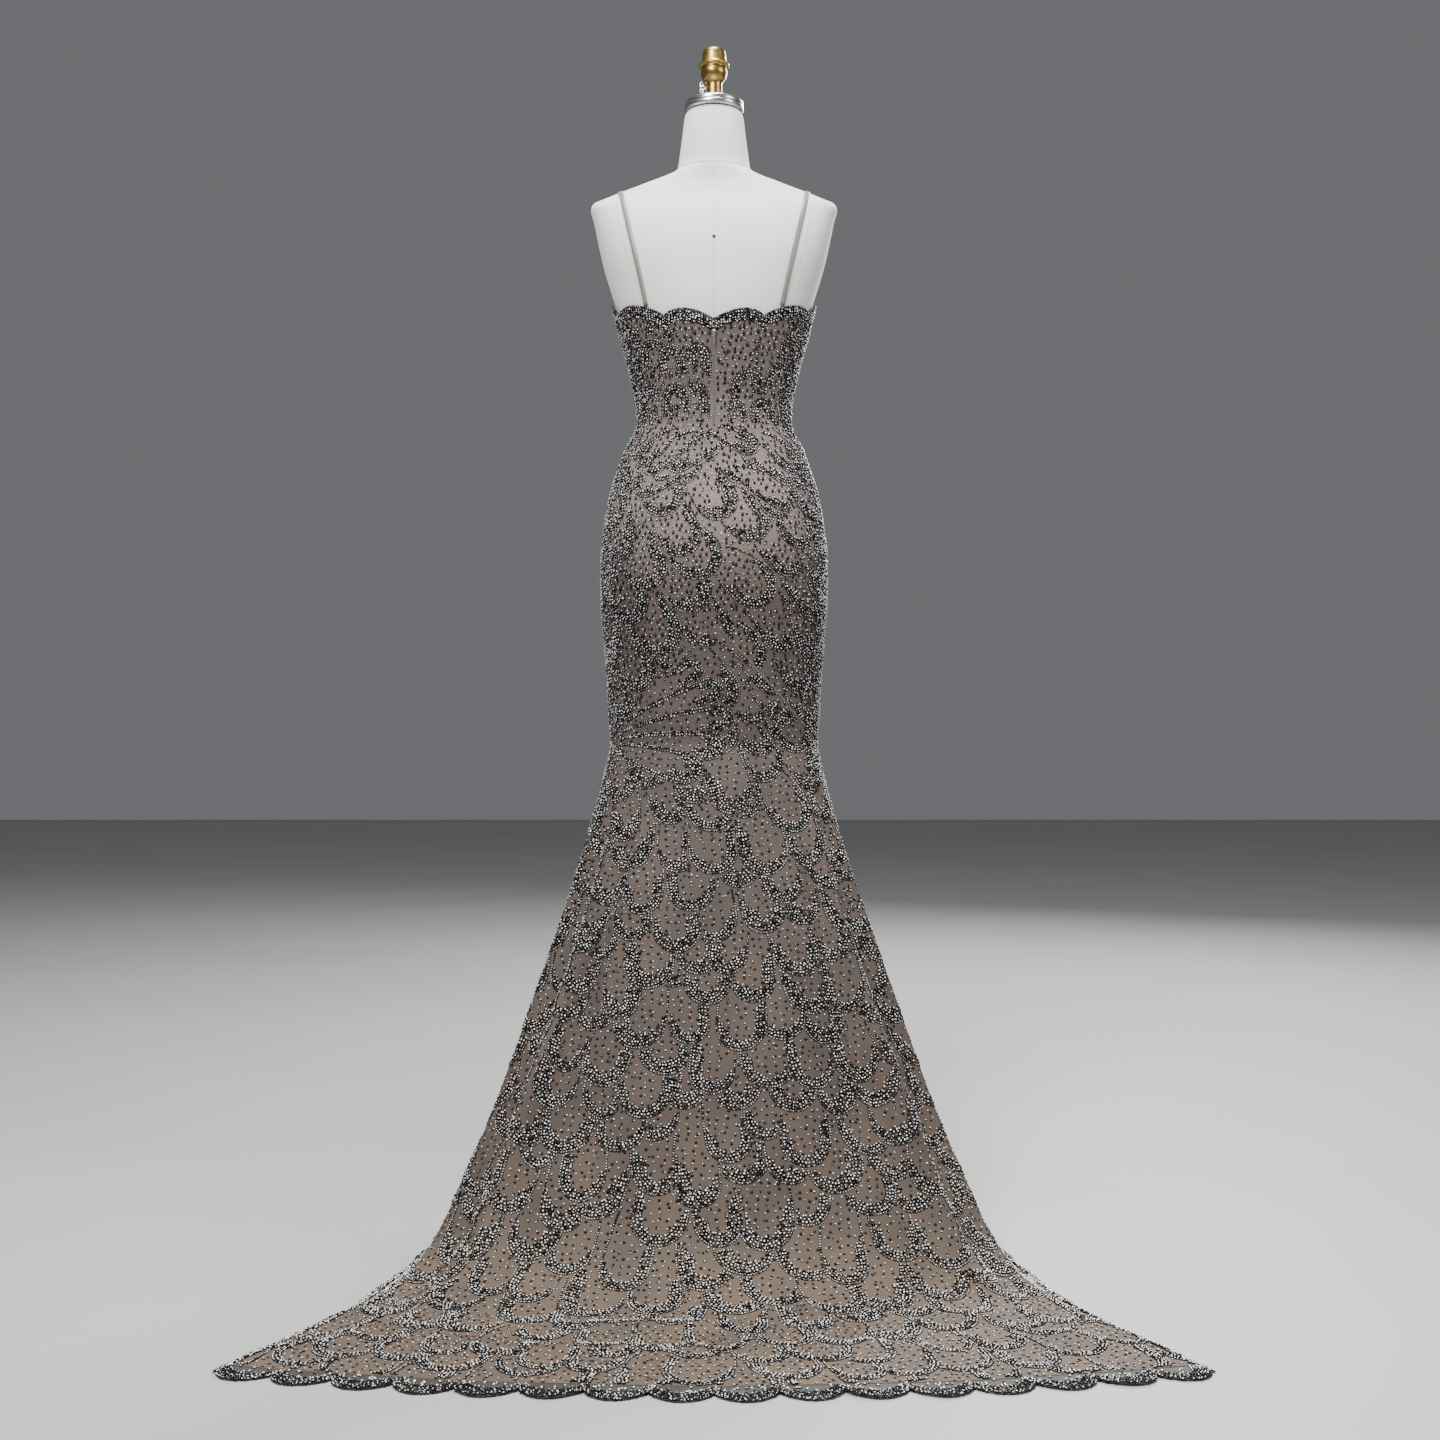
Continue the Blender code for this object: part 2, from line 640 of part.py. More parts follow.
def build_stand(steel, iron, brass, silver):
    """Neck plate, finial with its thumb screw, pole and base."""
    post_low = NECK_TOP + SEAM + 0.0152
    turned("neck_plate", (
        (0.0425, NECK_TOP + SEAM), (0.0452, NECK_TOP + SEAM + 0.0025),
        (0.0452, post_low - 0.0020), (0.0435, post_low)), steel, 32)
    low = post_low + SEAM
    turned("finial", (
        (0.0123, low), (0.0123, low + 0.0280), (0.0135, low + 0.0310), (0.0180, low + 0.0365),
        (0.0202, low + 0.0430), (0.0200, low + 0.0490), (0.0184, low + 0.0535),
        (0.0234, low + 0.0545), (0.0234, low + 0.0578), (0.0198, low + 0.0590),
        (0.0190, low + 0.0640), (0.0176, low + 0.0770), (0.0160, low + 0.0792)), brass, 28)
    screw = turned("thumb_screw", (
        (0.0024, 0.0), (0.0024, 0.0030), (0.0046, 0.0034), (0.0046, 0.0090),
        (0.0036, 0.0100)), silver, 14)
    for vertex in screw.data.vertices:
        x, y, z = vertex.co
        vertex.co = (z, y, -x)
    screw.location = (0.0123 + SEAM, 0.0, low + 0.0225)
    turned("pole", (
        (POLE_RADIUS, BASE_HEIGHT + SEAM), (POLE_RADIUS, FORM_BOTTOM - 0.012),
        (0.0420, FORM_BOTTOM - 0.008), (0.0420, FORM_BOTTOM - SEAM)), steel, 20)
    turned("base", (
        (BASE_RADIUS, 0.0), (BASE_RADIUS, 0.0100), (BASE_RADIUS - 0.0060, 0.0130),
        (0.0450, BASE_HEIGHT - 0.0020), (0.0420, BASE_HEIGHT)), iron, 36)


# ---------------------------------------------------------------- the zip's slider and pull
SLIDER_Z = 1.3125         # height of the pull's hinge pin
SLIDER_SIZE = (0.0062, 0.0022, 0.0095)
PIN_OUT = 0.0026          # the pin's centre in front of the slider's face
PIN_RADIUS = 0.0005
PULL_WIDTH = 0.0024
PULL_LENGTH = 0.0170
PULL_THICK = 0.0009
EYE_RADIUS = 0.0014
BORE_RADIUS = 0.0008
LUG_THICK = 0.0008
LUG_GAP = 0.0003
LUG_HALF = 0.0012         # half height of a lug, and its reach past the pin
LUG_ROOT = 0.0005         # how deep a lug starts inside the slider
SLIDER_DROP = 0.0070      # from the pin down to the slider's lower end


def box_object(name, low, high, material=None):
    mesh = bmesh.new()
    bmesh.ops.create_cube(mesh, size=1.0)
    for vertex in mesh.verts:
        for k in range(3):
            vertex.co[k] = low[k] if vertex.co[k] < 0 else high[k]
    return finish_mesh(name, mesh, material, 30.0)


def join_on(target, piece):
    """Unites a helper piece with its target and hides the helper."""
    union = target.modifiers.new(piece.name, "BOOLEAN")
    union.operation = "UNION"
    union.solver = "EXACT"
    union.object = piece
    piece.hide_render = True
    piece.display_type = "WIRE"


def build_zip(silver):
    """The slider with its two lugs and pin, and the pull that swings on the pin."""
    faces = [body_point(0.0, SLIDER_Z + dz, GOWN)[1] for dz in (-0.008, 0.0, 0.004)]
    back = max(faces) + SEAM
    face = back + SLIDER_SIZE[1]
    half = SLIDER_SIZE[0] / 2
    foot = SLIDER_Z - SLIDER_DROP
    slider = box_object("zip_slider", (-half, back, foot), (half, face, foot + SLIDER_SIZE[2]), silver)
    bevel = slider.modifiers.new("rounded", "BEVEL")
    bevel.width = 0.0005
    bevel.segments = 1
    pin_y = face + PIN_OUT
    lug_in = PULL_WIDTH / 2 + LUG_GAP
    for side in (-1.0, 1.0):
        ends = sorted((side * lug_in, side * (lug_in + LUG_THICK)))
        lug = box_object("lug_helper", (ends[0], face - LUG_ROOT, SLIDER_Z - LUG_HALF),
                         (ends[1], pin_y + LUG_HALF, SLIDER_Z + LUG_HALF), silver)
        join_on(slider, lug)
    pin_half = lug_in + LUG_THICK / 2
    pin = turned("pin_helper", ((PIN_RADIUS, -pin_half), (PIN_RADIUS, pin_half)), silver, 12)
    for vertex in pin.data.vertices:
        x, y, z = vertex.co
        vertex.co = (z, y, -x)
    pin.location = (0.0, pin_y, SLIDER_Z)
    join_on(slider, pin)

    steps = 14
    inner = []
    outer = []
    for k in range(steps):
        angle = math.radians(-90.0 + 360.0 * (k + 0.5) / steps)
        inner.append((BORE_RADIUS * math.cos(angle), BORE_RADIUS * math.sin(angle)))
        outer.append((EYE_RADIUS * math.cos(angle), EYE_RADIUS * math.sin(angle)))
    outer[0] = (PULL_THICK / 2, -PULL_LENGTH)
    outer[-1] = (-PULL_THICK / 2, -PULL_LENGTH)
    outer[1] = (PULL_THICK / 2, -EYE_RADIUS)
    outer[-2] = (-PULL_THICK / 2, -EYE_RADIUS)
    mesh = bmesh.new()
    loops = []
    for x in (-PULL_WIDTH / 2, PULL_WIDTH / 2):
        loops.append([[mesh.verts.new((x, y, z)) for y, z in line] for line in (inner, outer)])
    for k in range(steps):
        j = (k + 1) % steps
        for loop in loops:
            mesh.faces.new((loop[0][k], loop[0][j], loop[1][j], loop[1][k]))
        for line in (0, 1):
            mesh.faces.new((loops[0][line][k], loops[0][line][j],
                            loops[1][line][j], loops[1][line][k]))
    pull = finish_mesh("zip_pull", mesh, silver, 30.0)
    pull.location = (0.0, pin_y, SLIDER_Z)


# ---------------------------------------------------------------- everything
def main():
    for old in list(bpy.data.objects):
        bpy.data.objects.remove(old, do_unlink=True)
    net = make_material("beaded_net", (0.33, 0.27, 0.25), 0.55)
    sheer = make_material("sheer_net", (0.30, 0.30, 0.29), 0.60)
    satin = make_material("satin", (0.52, 0.42, 0.37), 0.45)
    cover = make_material("form_cover", (0.80, 0.79, 0.77), 0.80)
    steel = make_material("plated_steel", (0.62, 0.62, 0.62), 0.30, 1.0)
    iron = make_material("painted_iron", (0.06, 0.06, 0.06), 0.50)
    brass = make_material("brass", (0.55, 0.36, 0.12), 0.28, 1.0)
    silver = make_material("bright_metal", (0.75, 0.75, 0.74), 0.22, 1.0)

    seam_normals = build_upper(net)
    build_lower(net, sheer, seam_normals)
    build_lining(satin, seam_normals)
    form = build_form(cover)
    build_straps(form, satin)
    build_stand(steel, iron, brass, silver)
    build_zip(silver)


main()
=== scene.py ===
"""Looks of the beaded trumpet gown and its dress form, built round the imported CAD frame.

Metres, +Z up. The wearer faces -Y, +X is the wearer's left, and the train lies along +Y.
Stations are angles round the gown, from the centre back (0) through the wearer's left side (90)
to the centre front (180).
"""
import math

import bpy
import numpy as np
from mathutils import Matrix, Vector
from mathutils.bvhtree import BVHTree


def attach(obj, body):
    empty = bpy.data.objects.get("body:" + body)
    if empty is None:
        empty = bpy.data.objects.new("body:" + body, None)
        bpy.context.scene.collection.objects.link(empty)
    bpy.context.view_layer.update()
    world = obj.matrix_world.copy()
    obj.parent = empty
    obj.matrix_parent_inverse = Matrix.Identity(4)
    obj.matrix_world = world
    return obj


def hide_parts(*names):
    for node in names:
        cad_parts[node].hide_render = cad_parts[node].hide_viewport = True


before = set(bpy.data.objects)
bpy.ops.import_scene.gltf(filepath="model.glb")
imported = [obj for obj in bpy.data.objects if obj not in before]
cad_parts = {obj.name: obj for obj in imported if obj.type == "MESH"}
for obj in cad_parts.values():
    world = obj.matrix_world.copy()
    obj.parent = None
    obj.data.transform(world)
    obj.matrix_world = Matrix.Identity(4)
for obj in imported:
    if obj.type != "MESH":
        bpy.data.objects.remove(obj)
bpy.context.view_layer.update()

BODY_NAME = "gown_and_form"

# ---------------------------------------------------------------- sizes shared with the frame
CLOTH = 0.0020            # wall of the gown's solids
BAND_CLOTH = 0.0014       # wall of the sheer hem band
SEAM = 0.0003             # gap between pieces that meet
GOWN = 0.0050             # the gown's outer surface lies this far outside the form
WAIST = 1.180
KNEE = 0.705              # height from which the skirt spreads
V_APEX = 0.882            # height of the V seam's point at the centre back
V_SLOPE = 1.07            # how steeply the seam falls from there
V_LEVEL = 0.80            # height at which the seam's distance from the middle is measured
FRONT_SEAM = 0.713
CUP_X = 0.073             # middle of each cup
CUP_Z = 1.300
CUP_SPREAD = 0.050
CUP_DEPTH = 0.030         # on the gown
FORM_CUP_DEPTH = 0.023    # and on the form
CUP_FADE = 0.05           # the cups fade out over this depth towards the sides
SLIT_ANGLE = 140.0        # station of the slit at its top
SLIT_BACK = 22.0          # degrees by which its back edge has drawn away at the floor
SLIT_FRONT = 7.0          # and its front edge
SLIT_POWER = 1.25         # how the slit widens on its way down
SLIT_SPREAD = 1.5         # how its pull dies away round the skirt
BORDER = 0.020            # from a lower panel's edge to the low points of the scalloped hem
SCALLOP = 0.024           # depth of the hem's scallops beyond them
TOP_SCALLOP = 0.013       # height of the top edge's scallops
ROUND = 0.7               # makes a scallop rounder than a sine
FILLET_TRAIN = 0.100      # length of cloth that bends on to the floor, in the train
FILLET_FRONT = 0.018      # and in front
TRAIN_FROM = 0.05         # length of cloth on the floor from which it counts as train
TRAIN_OVER = 0.20         # and over which that grows to the full
FOLD_FADE = 0.80          # share of the way down from which the train's folds fade out
SPREAD_CURVE = 0.32       # how hollow the skirt is between knee and floor
HANG_ROWS = 9             # the frame's rows of the hanging cloth and of its bend
BEND_ROWS = 3
THIGH_POINTS = 7          # points down the skirt's line, from seam to knee
FLARE_POINTS = 40         # and from knee to floor
FORM_BOTTOM = 0.790
NECK_TOP = 1.671
STRAP_WIDTH = 0.0075
STRAP_THICK = 0.0016
STRAP_TOP_X = 0.143       # the straps' distance from the middle on the shoulders

# The form: half width, depth to the front, depth to the back, and how square the section is.
BODY = (
    # z, half_width, front, back, square
    (0.705, 0.1515, 0.0925, 0.0995, 2.30),
    (0.750, 0.1545, 0.0935, 0.1035, 2.30),
    (0.800, 0.1567, 0.0955, 0.1095, 2.30),
    (0.862, 0.1613, 0.0975, 0.1175, 2.30),
    (0.925, 0.1662, 0.0995, 0.1225, 2.30),
    (0.985, 0.1662, 0.0995, 0.1195, 2.30),
    (1.030, 0.1618, 0.0975, 0.1135, 2.30),
    (1.085, 0.1525, 0.0935, 0.1035, 2.30),
    (1.120, 0.1418, 0.0895, 0.0955, 2.25),
    (1.155, 0.1292, 0.0865, 0.0885, 2.20),
    (1.190, 0.1127, 0.0845, 0.0845, 2.20),
    (1.215, 0.1122, 0.0865, 0.0845, 2.20),
    (1.245, 0.1167, 0.0915, 0.0875, 2.20),
    (1.290, 0.1277, 0.0985, 0.0925, 2.25),
    (1.330, 0.1390, 0.1025, 0.0970, 2.30),
    (1.370, 0.1490, 0.1040, 0.1000, 2.40),
    (1.435, 0.1685, 0.0960, 0.0970, 2.60),
    (1.480, 0.1785, 0.0860, 0.0880, 2.60),
    (1.504, 0.1835, 0.0770, 0.0790, 2.50),
    (1.520, 0.1878, 0.0670, 0.0690, 2.40),
    (1.527, 0.1862, 0.0600, 0.0630, 2.30),
    (1.532, 0.1760, 0.0555, 0.0590, 2.20),
    (1.545, 0.1450, 0.0490, 0.0545, 2.10),
    (1.553, 0.1230, 0.0460, 0.0520, 2.10),
    (1.561, 0.1010, 0.0450, 0.0510, 2.10),
    (1.568, 0.0800, 0.0460, 0.0510, 2.10),
    (1.575, 0.0640, 0.0490, 0.0510, 2.10),
    (1.581, 0.0568, 0.0510, 0.0500, 2.05),
    (1.590, 0.0543, 0.0525, 0.0485, 2.00),
    (1.618, 0.0503, 0.0520, 0.0470, 2.00),
    (1.648, 0.0465, 0.0490, 0.0445, 2.00),
    (1.661, 0.0450, 0.0475, 0.0430, 2.00),
    (1.667, 0.0434, 0.0457, 0.0413, 2.00),
    (NECK_TOP, 0.0402, 0.0425, 0.0385, 2.00),
)

# The frame's stations, from the centre back to the centre front.
HALF_STATIONS = np.concatenate((np.arange(0.0, 55.0, 6.75), (62.5, 71.0, 80.5),
                                np.arange(90.0, 151.0, 10.0), np.arange(154.0, 175.0, 4.0),
                                (177.0, 180.0)))

# The low points between the scallops of the top edge, on each half.
TOP_EDGE = (
    # degrees, z
    (0.0, 1.331),
    (27.0, 1.338),
    (71.0, 1.352),
    (110.0, 1.372),
    (150.0, 1.366),
    (166.0, 1.326),
    (180.0, 1.285),
)

# Where the hanging cloth meets the floor, and the low points of the scalloped hem.
FLOOR_PLAN = (
    # degrees, floor_x, floor_y, hem_x, hem_y
    (0.0, 0.000, 0.450, 0.000, 0.762),
    (27.0, 0.205, 0.447, 0.284, 0.744),
    (47.25, 0.322, 0.420, 0.492, 0.708),
    (54.0, 0.350, 0.400, 0.557, 0.692),
    (62.5, 0.374, 0.362, 0.511, 0.602),
    (71.0, 0.384, 0.300, 0.446, 0.468),
    (80.5, 0.371, 0.205, 0.403, 0.287),
    (90.0, 0.339, 0.095, 0.374, 0.115),
    (110.0, 0.309, -0.060, 0.352, -0.072),
    (130.0, 0.252, -0.185, 0.285, -0.213),
    (150.0, 0.158, -0.266, 0.178, -0.306),
    (180.0, 0.000, -0.305, 0.000, -0.350),
)

# Soft folds of the lower skirt: where each lies, how wide, how far it stands out (or in),
# and how far down the skirt it starts.
FOLDS = (
    # degrees, spread, depth, start
    (0.0, 9.0, -0.010, 0.35),
    (17.0, 6.0, 0.012, 0.40),
    (32.0, 6.0, -0.012, 0.30),
    (47.0, 6.0, 0.013, 0.25),
    (66.0, 6.0, -0.009, 0.45),
    (100.0, 7.0, 0.010, 0.45),
    (120.0, 6.0, -0.010, 0.40),
    (162.0, 7.0, 0.012, 0.35),
    (186.0, 7.0, -0.012, 0.30),
    (212.0, 8.0, 0.013, 0.30),
    (238.0, 7.0, -0.010, 0.40),
    (262.0, 7.0, 0.010, 0.45),
    (281.0, 6.0, 0.011, 0.50),
    (297.0, 6.0, -0.010, 0.40),
    (313.0, 6.0, 0.013, 0.25),
    (328.0, 6.0, -0.013, 0.30),
    (343.0, 6.0, 0.013, 0.35),
)

# ---------------------------------------------------------------- sizes of the looks
NET_THICK = 0.0012        # thickness of the shells that show: the panels,
BAND_THICK = 0.0008       # the sheer band
LINING_THICK = 0.0010     # and the lining
BODICE_ROWS = 34          # rows of the panels above the waist
HIP_ROWS = 60             # and below it
BAND_ROWS = 6             # rows of the sheer band
BAND_CELLS = 16           # steps of the band's outline in each scallop
SKIRT_COLUMN = 2.0        # degrees between the columns of the lower panels
UPPER_COLUMN = 1.5        # and of the upper ones
CHART_PITCH = 0.004       # metres between the rows of a chart
CHART_TOP = 1.400         # heights at which the upper chart starts and ends
CHART_BOTTOM = 0.69
CHART_STEP = 1.0          # degrees between its columns
CHART_WRAP = 20.0         # degrees by which it goes on past the full round, at both ends
CHART_MARGIN = 10.0       # degrees of a lower chart beyond its panel's edges
PANEL_ROWS = (8, 69, 12, 24)   # a lower panel's rows: above the seam, hanging, bending, lying
HIP_DEGREE = 0.0027       # metres that a degree counts for in the creases of the hips
SKIRT_DEGREE = 0.0055     # share of the way down that it counts for in those of the skirt
CREASE_FADE = 0.08        # the skirt's creases grow over this length below its seam

BEAD_RADIUS = 0.0029      # of the larger beads, which their sizes vary
BEAD_PITCH = 0.0048       # between them along a row
EDGE_PITCH = BEAD_PITCH * 0.95   # and along the top edge and the hem
ROW_PITCH = 0.0042        # between the rows of a petal
BEAD_TILT = 0.22          # how unevenly the beads stand
ROW_JITTER = 0.07         # how unevenly they follow each other in a petal's rows, in pitches
EDGE_JITTER = 0.16        # and along the top edge and the hem
SEED_RADIUS = 0.00215     # the small beads of the petals' outlines
SEED_PITCH = 0.0036
DROP_STRETCH = 1.7        # how much longer than wide the dark drops are
DULL_SHARE = 0.11         # share of the beads that stay dark
OUTLINE_DULL = 0.27       # and of the small ones that draw the outlines
HEM_DULL = 0.42           # and of those on the sheer hem
DULL_TONE = 0.40          # tone of a dark bead's top
LEAST_TONE = 0.62         # the others lie between this and 1, a painted highlight on their tops
FLOOR_GLOW = 0.36         # height over which the floor's light on the beads fades
GLOW_FROM = 0.03          # and from which it does
GLOW_LIFTS = 0.20         # share of the dark beads that it brightens
FOOT_TONE = 0.12          # tone of a bead's foot at the floor, painted floor light; elsewhere the foot is black, painted shade
SEAT = 0.0002             # height of a bead's foot over the cloth
DOT_PITCH = 0.0125        # between the dots in the open middles of the petals
DROP_PITCH = DOT_PITCH * 1.05    # and between the dark drops there
UPPER_DOT_PITCH = 0.0102  # both on bodice and hips
DOT_JITTER = 0.16         # how far a dot strays from its place, in pitches
DOT_ROWS = 0.87           # distance between the rows of dots, in pitches
HEM_ROWS = 6              # bead rows along the scalloped hem
TOP_ROWS = 5              # and along the top edge
SIDE_MARGIN = 0.0050      # between a petal's edge and the open net inside it
SEAM_CLEAR = 0.0019       # between a bead's centre and a seam
SLIT_CLEAR = 0.0020       # between a bead's centre and a lower panel's upright edge
TOP_CLEAR = 0.0155        # height of the top edge's own beads, which the petals stay below
SIDE_PITCH = 0.0058       # between the beads that fill the sides of hips and skirt
OUTLINE_INSET = 0.0012    # between a petal's edge and its outline of small beads
SEED_STRAY = 0.00015      # how far a small bead strays from its row
FILL_STRAY = 0.00014      # and a larger one, for each row inwards
NARROWEST = 0.0080        # width below which a petal takes no further row of beads
PETAL_COVER = 0.0022      # how far past its edge a petal hides the beads of those below
DOT_CLEAR = 0.0020        # between a petal's edge and the dots outside it
BAND_SHARE = 0.26         # widest band of beads along a petal's side, in its widths
BAND_TIP = 1.3            # length over which the band widens towards the tip, in tips
BOX_MARGIN = 0.004        # room round a petal in which places are looked at more closely,
BOX_DEGREES = 1.0         # in metres down the cloth and in degrees
PETAL_STEPS = 40          # points on each side and on each half tip of a petal's outline
TIP_SHARE = 0.52          # length of a petal's round tip, in its widths
LEAST_TIP = 0.004         # the least that it is drawn in to
SHRUNK_TIP = 0.003        # and the least in the test of what lies inside
LOWER_RANK = 100.0        # rank of the first row of hanging petals; each row below ranks 1 less
FAN_RANK = 120.0          # rank of the first leaf of the fan
CORNER_SHARE = 0.45       # most of a side that a rounded corner of a turned profile takes
ROW_REACH = (0.0, 2.10, 1.65, 1.25, 0.90, 0.62, 0.40)   # half length of each row, in petal tips

# Small creases: two ends in stations and heights, half width and depth in metres.
HIP_CREASES = (
    # station_a, z_a, station_b, z_b, half_width, depth
    (58.0, 0.768, 22.0, 0.822, 0.0070, -0.0022),
    (66.0, 0.742, 40.0, 0.770, 0.0060, 0.0016),
    (300.0, 0.905, 326.0, 0.892, 0.0070, -0.0018),
    (292.0, 0.868, 318.0, 0.846, 0.0060, -0.0015),
    (296.0, 0.887, 322.0, 0.872, 0.0060, 0.0014),
    (38.0, 0.930, 62.0, 0.948, 0.0070, -0.0014),
    (70.0, 1.205, 98.0, 1.198, 0.0050, -0.0012),
    (262.0, 1.200, 291.0, 1.206, 0.0050, -0.0012),
    (118.0, 0.780, 150.0, 0.742, 0.0080, -0.0020),
    (212.0, 0.760, 246.0, 0.800, 0.0080, -0.0020),
    (160.0, 1.150, 196.0, 1.146, 0.0060, -0.0010),
    (128.0, 1.130, 160.0, 1.110, 0.0060, 0.0010),
)
# Creases of the lower skirt: the ends' second value is the share of the way to the hem.
SKIRT_CREASES = (
    # station_a, share_a, station_b, share_b, half_width, depth
    (8.0, 0.55, 5.0, 0.80, 0.012, 0.0040),
    (-10.0, 0.60, -13.0, 0.86, 0.010, -0.0035),
    (-22.0, 0.30, -26.0, 0.72, 0.014, 0.0045),
    (24.0, 0.42, 27.0, 0.74, 0.012, -0.0040),
    (38.0, 0.16, 41.0, 0.74, 0.013, -0.0090),
    (-38.0, 0.18, -41.0, 0.76, 0.013, -0.0090),
    (55.0, 0.35, 58.0, 0.75, 0.012, 0.0035),
    (-54.0, 0.30, -58.0, 0.72, 0.012, 0.0035),
    (0.0, 0.90, 14.0, 0.96, 0.010, 0.0050),
    (-18.0, 0.88, -30.0, 0.95, 0.012, 0.0055),
    (30.0, 0.86, 24.0, 0.97, 0.010, 0.0045),
    (44.0, 0.84, 50.0, 0.95, 0.012, 0.0050),
    (-46.0, 0.86, -50.0, 0.96, 0.012, 0.0050),
    (-4.0, 0.84, -8.0, 0.95, 0.009, 0.0040),
    (76.0, 0.50, 78.0, 0.85, 0.012, -0.0035),
    (-76.0, 0.48, -79.0, 0.85, 0.012, -0.0035),
    (106.0, 0.40, 110.0, 0.85, 0.012, 0.0035),
    (172.0, 0.35, 174.0, 0.88, 0.014, 0.0045),
    (198.0, 0.30, 199.0, 0.85, 0.012, -0.0035),
    (225.0, 0.40, 226.0, 0.90, 0.012, 0.0040),
    (250.0, 0.45, 251.0, 0.90, 0.012, -0.0035),
    (-24.0, 0.805, 2.0, 0.812, 0.011, 0.0070),
    (-8.0, 0.845, 26.0, 0.838, 0.010, 0.0060),
    (18.0, 0.800, 40.0, 0.822, 0.012, -0.0060),
    (-48.0, 0.815, -26.0, 0.840, 0.011, 0.0070),
    (-30.0, 0.880, -6.0, 0.872, 0.009, -0.0040),
    (4.0, 0.905, 34.0, 0.912, 0.009, 0.0050),
    (30.0, 0.12, 33.0, 0.72, 0.014, 0.0080),
    (-30.0, 0.14, -33.0, 0.74, 0.014, 0.0080),
    (46.0, 0.10, 49.0, 0.80, 0.014, 0.0110),
    (-47.0, 0.10, -50.0, 0.80, 0.014, 0.0110),
    (55.0, 0.08, 57.0, 0.82, 0.015, -0.0150),
    (64.0, 0.06, 66.0, 0.86, 0.014, 0.0140),
    (73.0, 0.08, 75.0, 0.84, 0.014, -0.0140),
    (80.0, 0.12, 82.0, 0.80, 0.010, 0.0080),
    (-56.0, 0.10, -58.0, 0.82, 0.015, -0.0150),
    (-65.0, 0.08, -67.0, 0.86, 0.014, 0.0140),
    (-74.0, 0.10, -76.0, 0.84, 0.014, -0.0140),
    (-82.0, 0.12, -84.0, 0.80, 0.010, 0.0080),
    (128.0, 0.20, 130.0, 0.85, 0.010, 0.0050),
    (152.0, 0.15, 153.0, 0.85, 0.012, 0.0050),
    (186.0, 0.15, 187.0, 0.88, 0.012, 0.0050),
    (212.0, 0.20, 213.0, 0.88, 0.012, -0.0050),
    (238.0, 0.20, 239.0, 0.88, 0.012, 0.0050),
)


# ---------------------------------------------------------------- small maths
def column(table, index, at):
    """Monotone cubic through one column of a table, read at an array of places."""
    xs = np.array([row[0] for row in table])
    ys = np.array([row[index] for row in table])
    at = np.clip(at, xs[0], xs[-1])
    i = np.clip(np.searchsorted(xs, at) - 1, 0, len(xs) - 2)
    steps = np.diff(ys) / np.diff(xs)
    slopes = np.zeros(len(xs))
    left, right = steps[:-1], steps[1:]
    same = left * right > 0.0
    slopes[1:-1][same] = 2.0 * left[same] * right[same] / (left[same] + right[same])
    h = xs[i + 1] - xs[i]
    t = (at - xs[i]) / h
    return ((2 * t ** 3 - 3 * t ** 2 + 1) * ys[i] + (t ** 3 - 2 * t ** 2 + t) * h * slopes[i]
            + (3 * t ** 2 - 2 * t ** 3) * ys[i + 1] + (t ** 3 - t ** 2) * h * slopes[i + 1])


def straight(table, index, at):
    """Straight lines through one column of a table, read at an array of places."""
    return np.interp(at, [row[0] for row in table], [row[index] for row in table])


def fold_back(degrees):
    """How far each station is from the centre back, and its side: 1 left, -1 right."""
    degrees = np.mod(degrees, 360.0)
    return np.where(degrees > 180.0, 360.0 - degrees, degrees), np.where(degrees > 180.0, -1.0, 1.0)


def ramp(value):
    """Smooth step: 0 up to 0, 1 from 1 on."""
    value = np.clip(value, 0.0, 1.0)
    return value * value * (3.0 - 2.0 * value)


def unit(vectors):
    """The same directions with length 1."""
    return vectors / np.maximum(np.linalg.norm(vectors, axis=-1, keepdims=True), 1e-12)


def level_out(path):
    """Level directions from the form's axis to the points."""
    return unit(path * np.array((1.0, 1.0, 0.0)))


def lengths(points, axis=0):
    """How far along its line each point lies, from the line's first one."""
    steps = np.linalg.norm(np.diff(points, axis=axis), axis=-1)
    return np.insert(np.cumsum(steps, axis=axis), 0, 0.0, axis=axis)


def grid_normals(grid):
    """Outward normals of a grid whose rows go down and whose columns follow the stations."""
    return unit(np.cross(np.gradient(grid, axis=1), np.gradient(grid, axis=0)))


def joined(pairs):
    """Joins several (stations, distances down) into one."""
    return tuple(np.concatenate(part) for part in zip(*pairs))


# ---------------------------------------------------------------- the gown's surface
def body(degrees, z, grow, cup_depth=CUP_DEPTH):
    """Points round the form at the given stations and heights, moved out by grow."""
    degrees, z = np.broadcast_arrays(np.asarray(degrees, float), np.asarray(z, float))
    power = 2.0 / column(BODY, 4, z)
    sine, cosine = np.sin(np.radians(degrees)), np.cos(np.radians(degrees))
    depth = np.where(cosine > 0.0, column(BODY, 3, z), column(BODY, 2, z)) + grow
    x = (column(BODY, 1, z) + grow) * np.sign(sine) * np.abs(sine) ** power
    y = depth * np.sign(cosine) * np.abs(cosine) ** power
    push = np.minimum(1.0, -y / CUP_FADE) * (y < 0.0)
    shape = 0.0
    for side in (-1.0, 1.0):
        shape = shape + np.exp(-((x - side * CUP_X) / CUP_SPREAD) ** 2
                               - ((z - CUP_Z) / CUP_SPREAD) ** 2)
    return np.stack((x, y - cup_depth * shape * push, z), axis=-1)


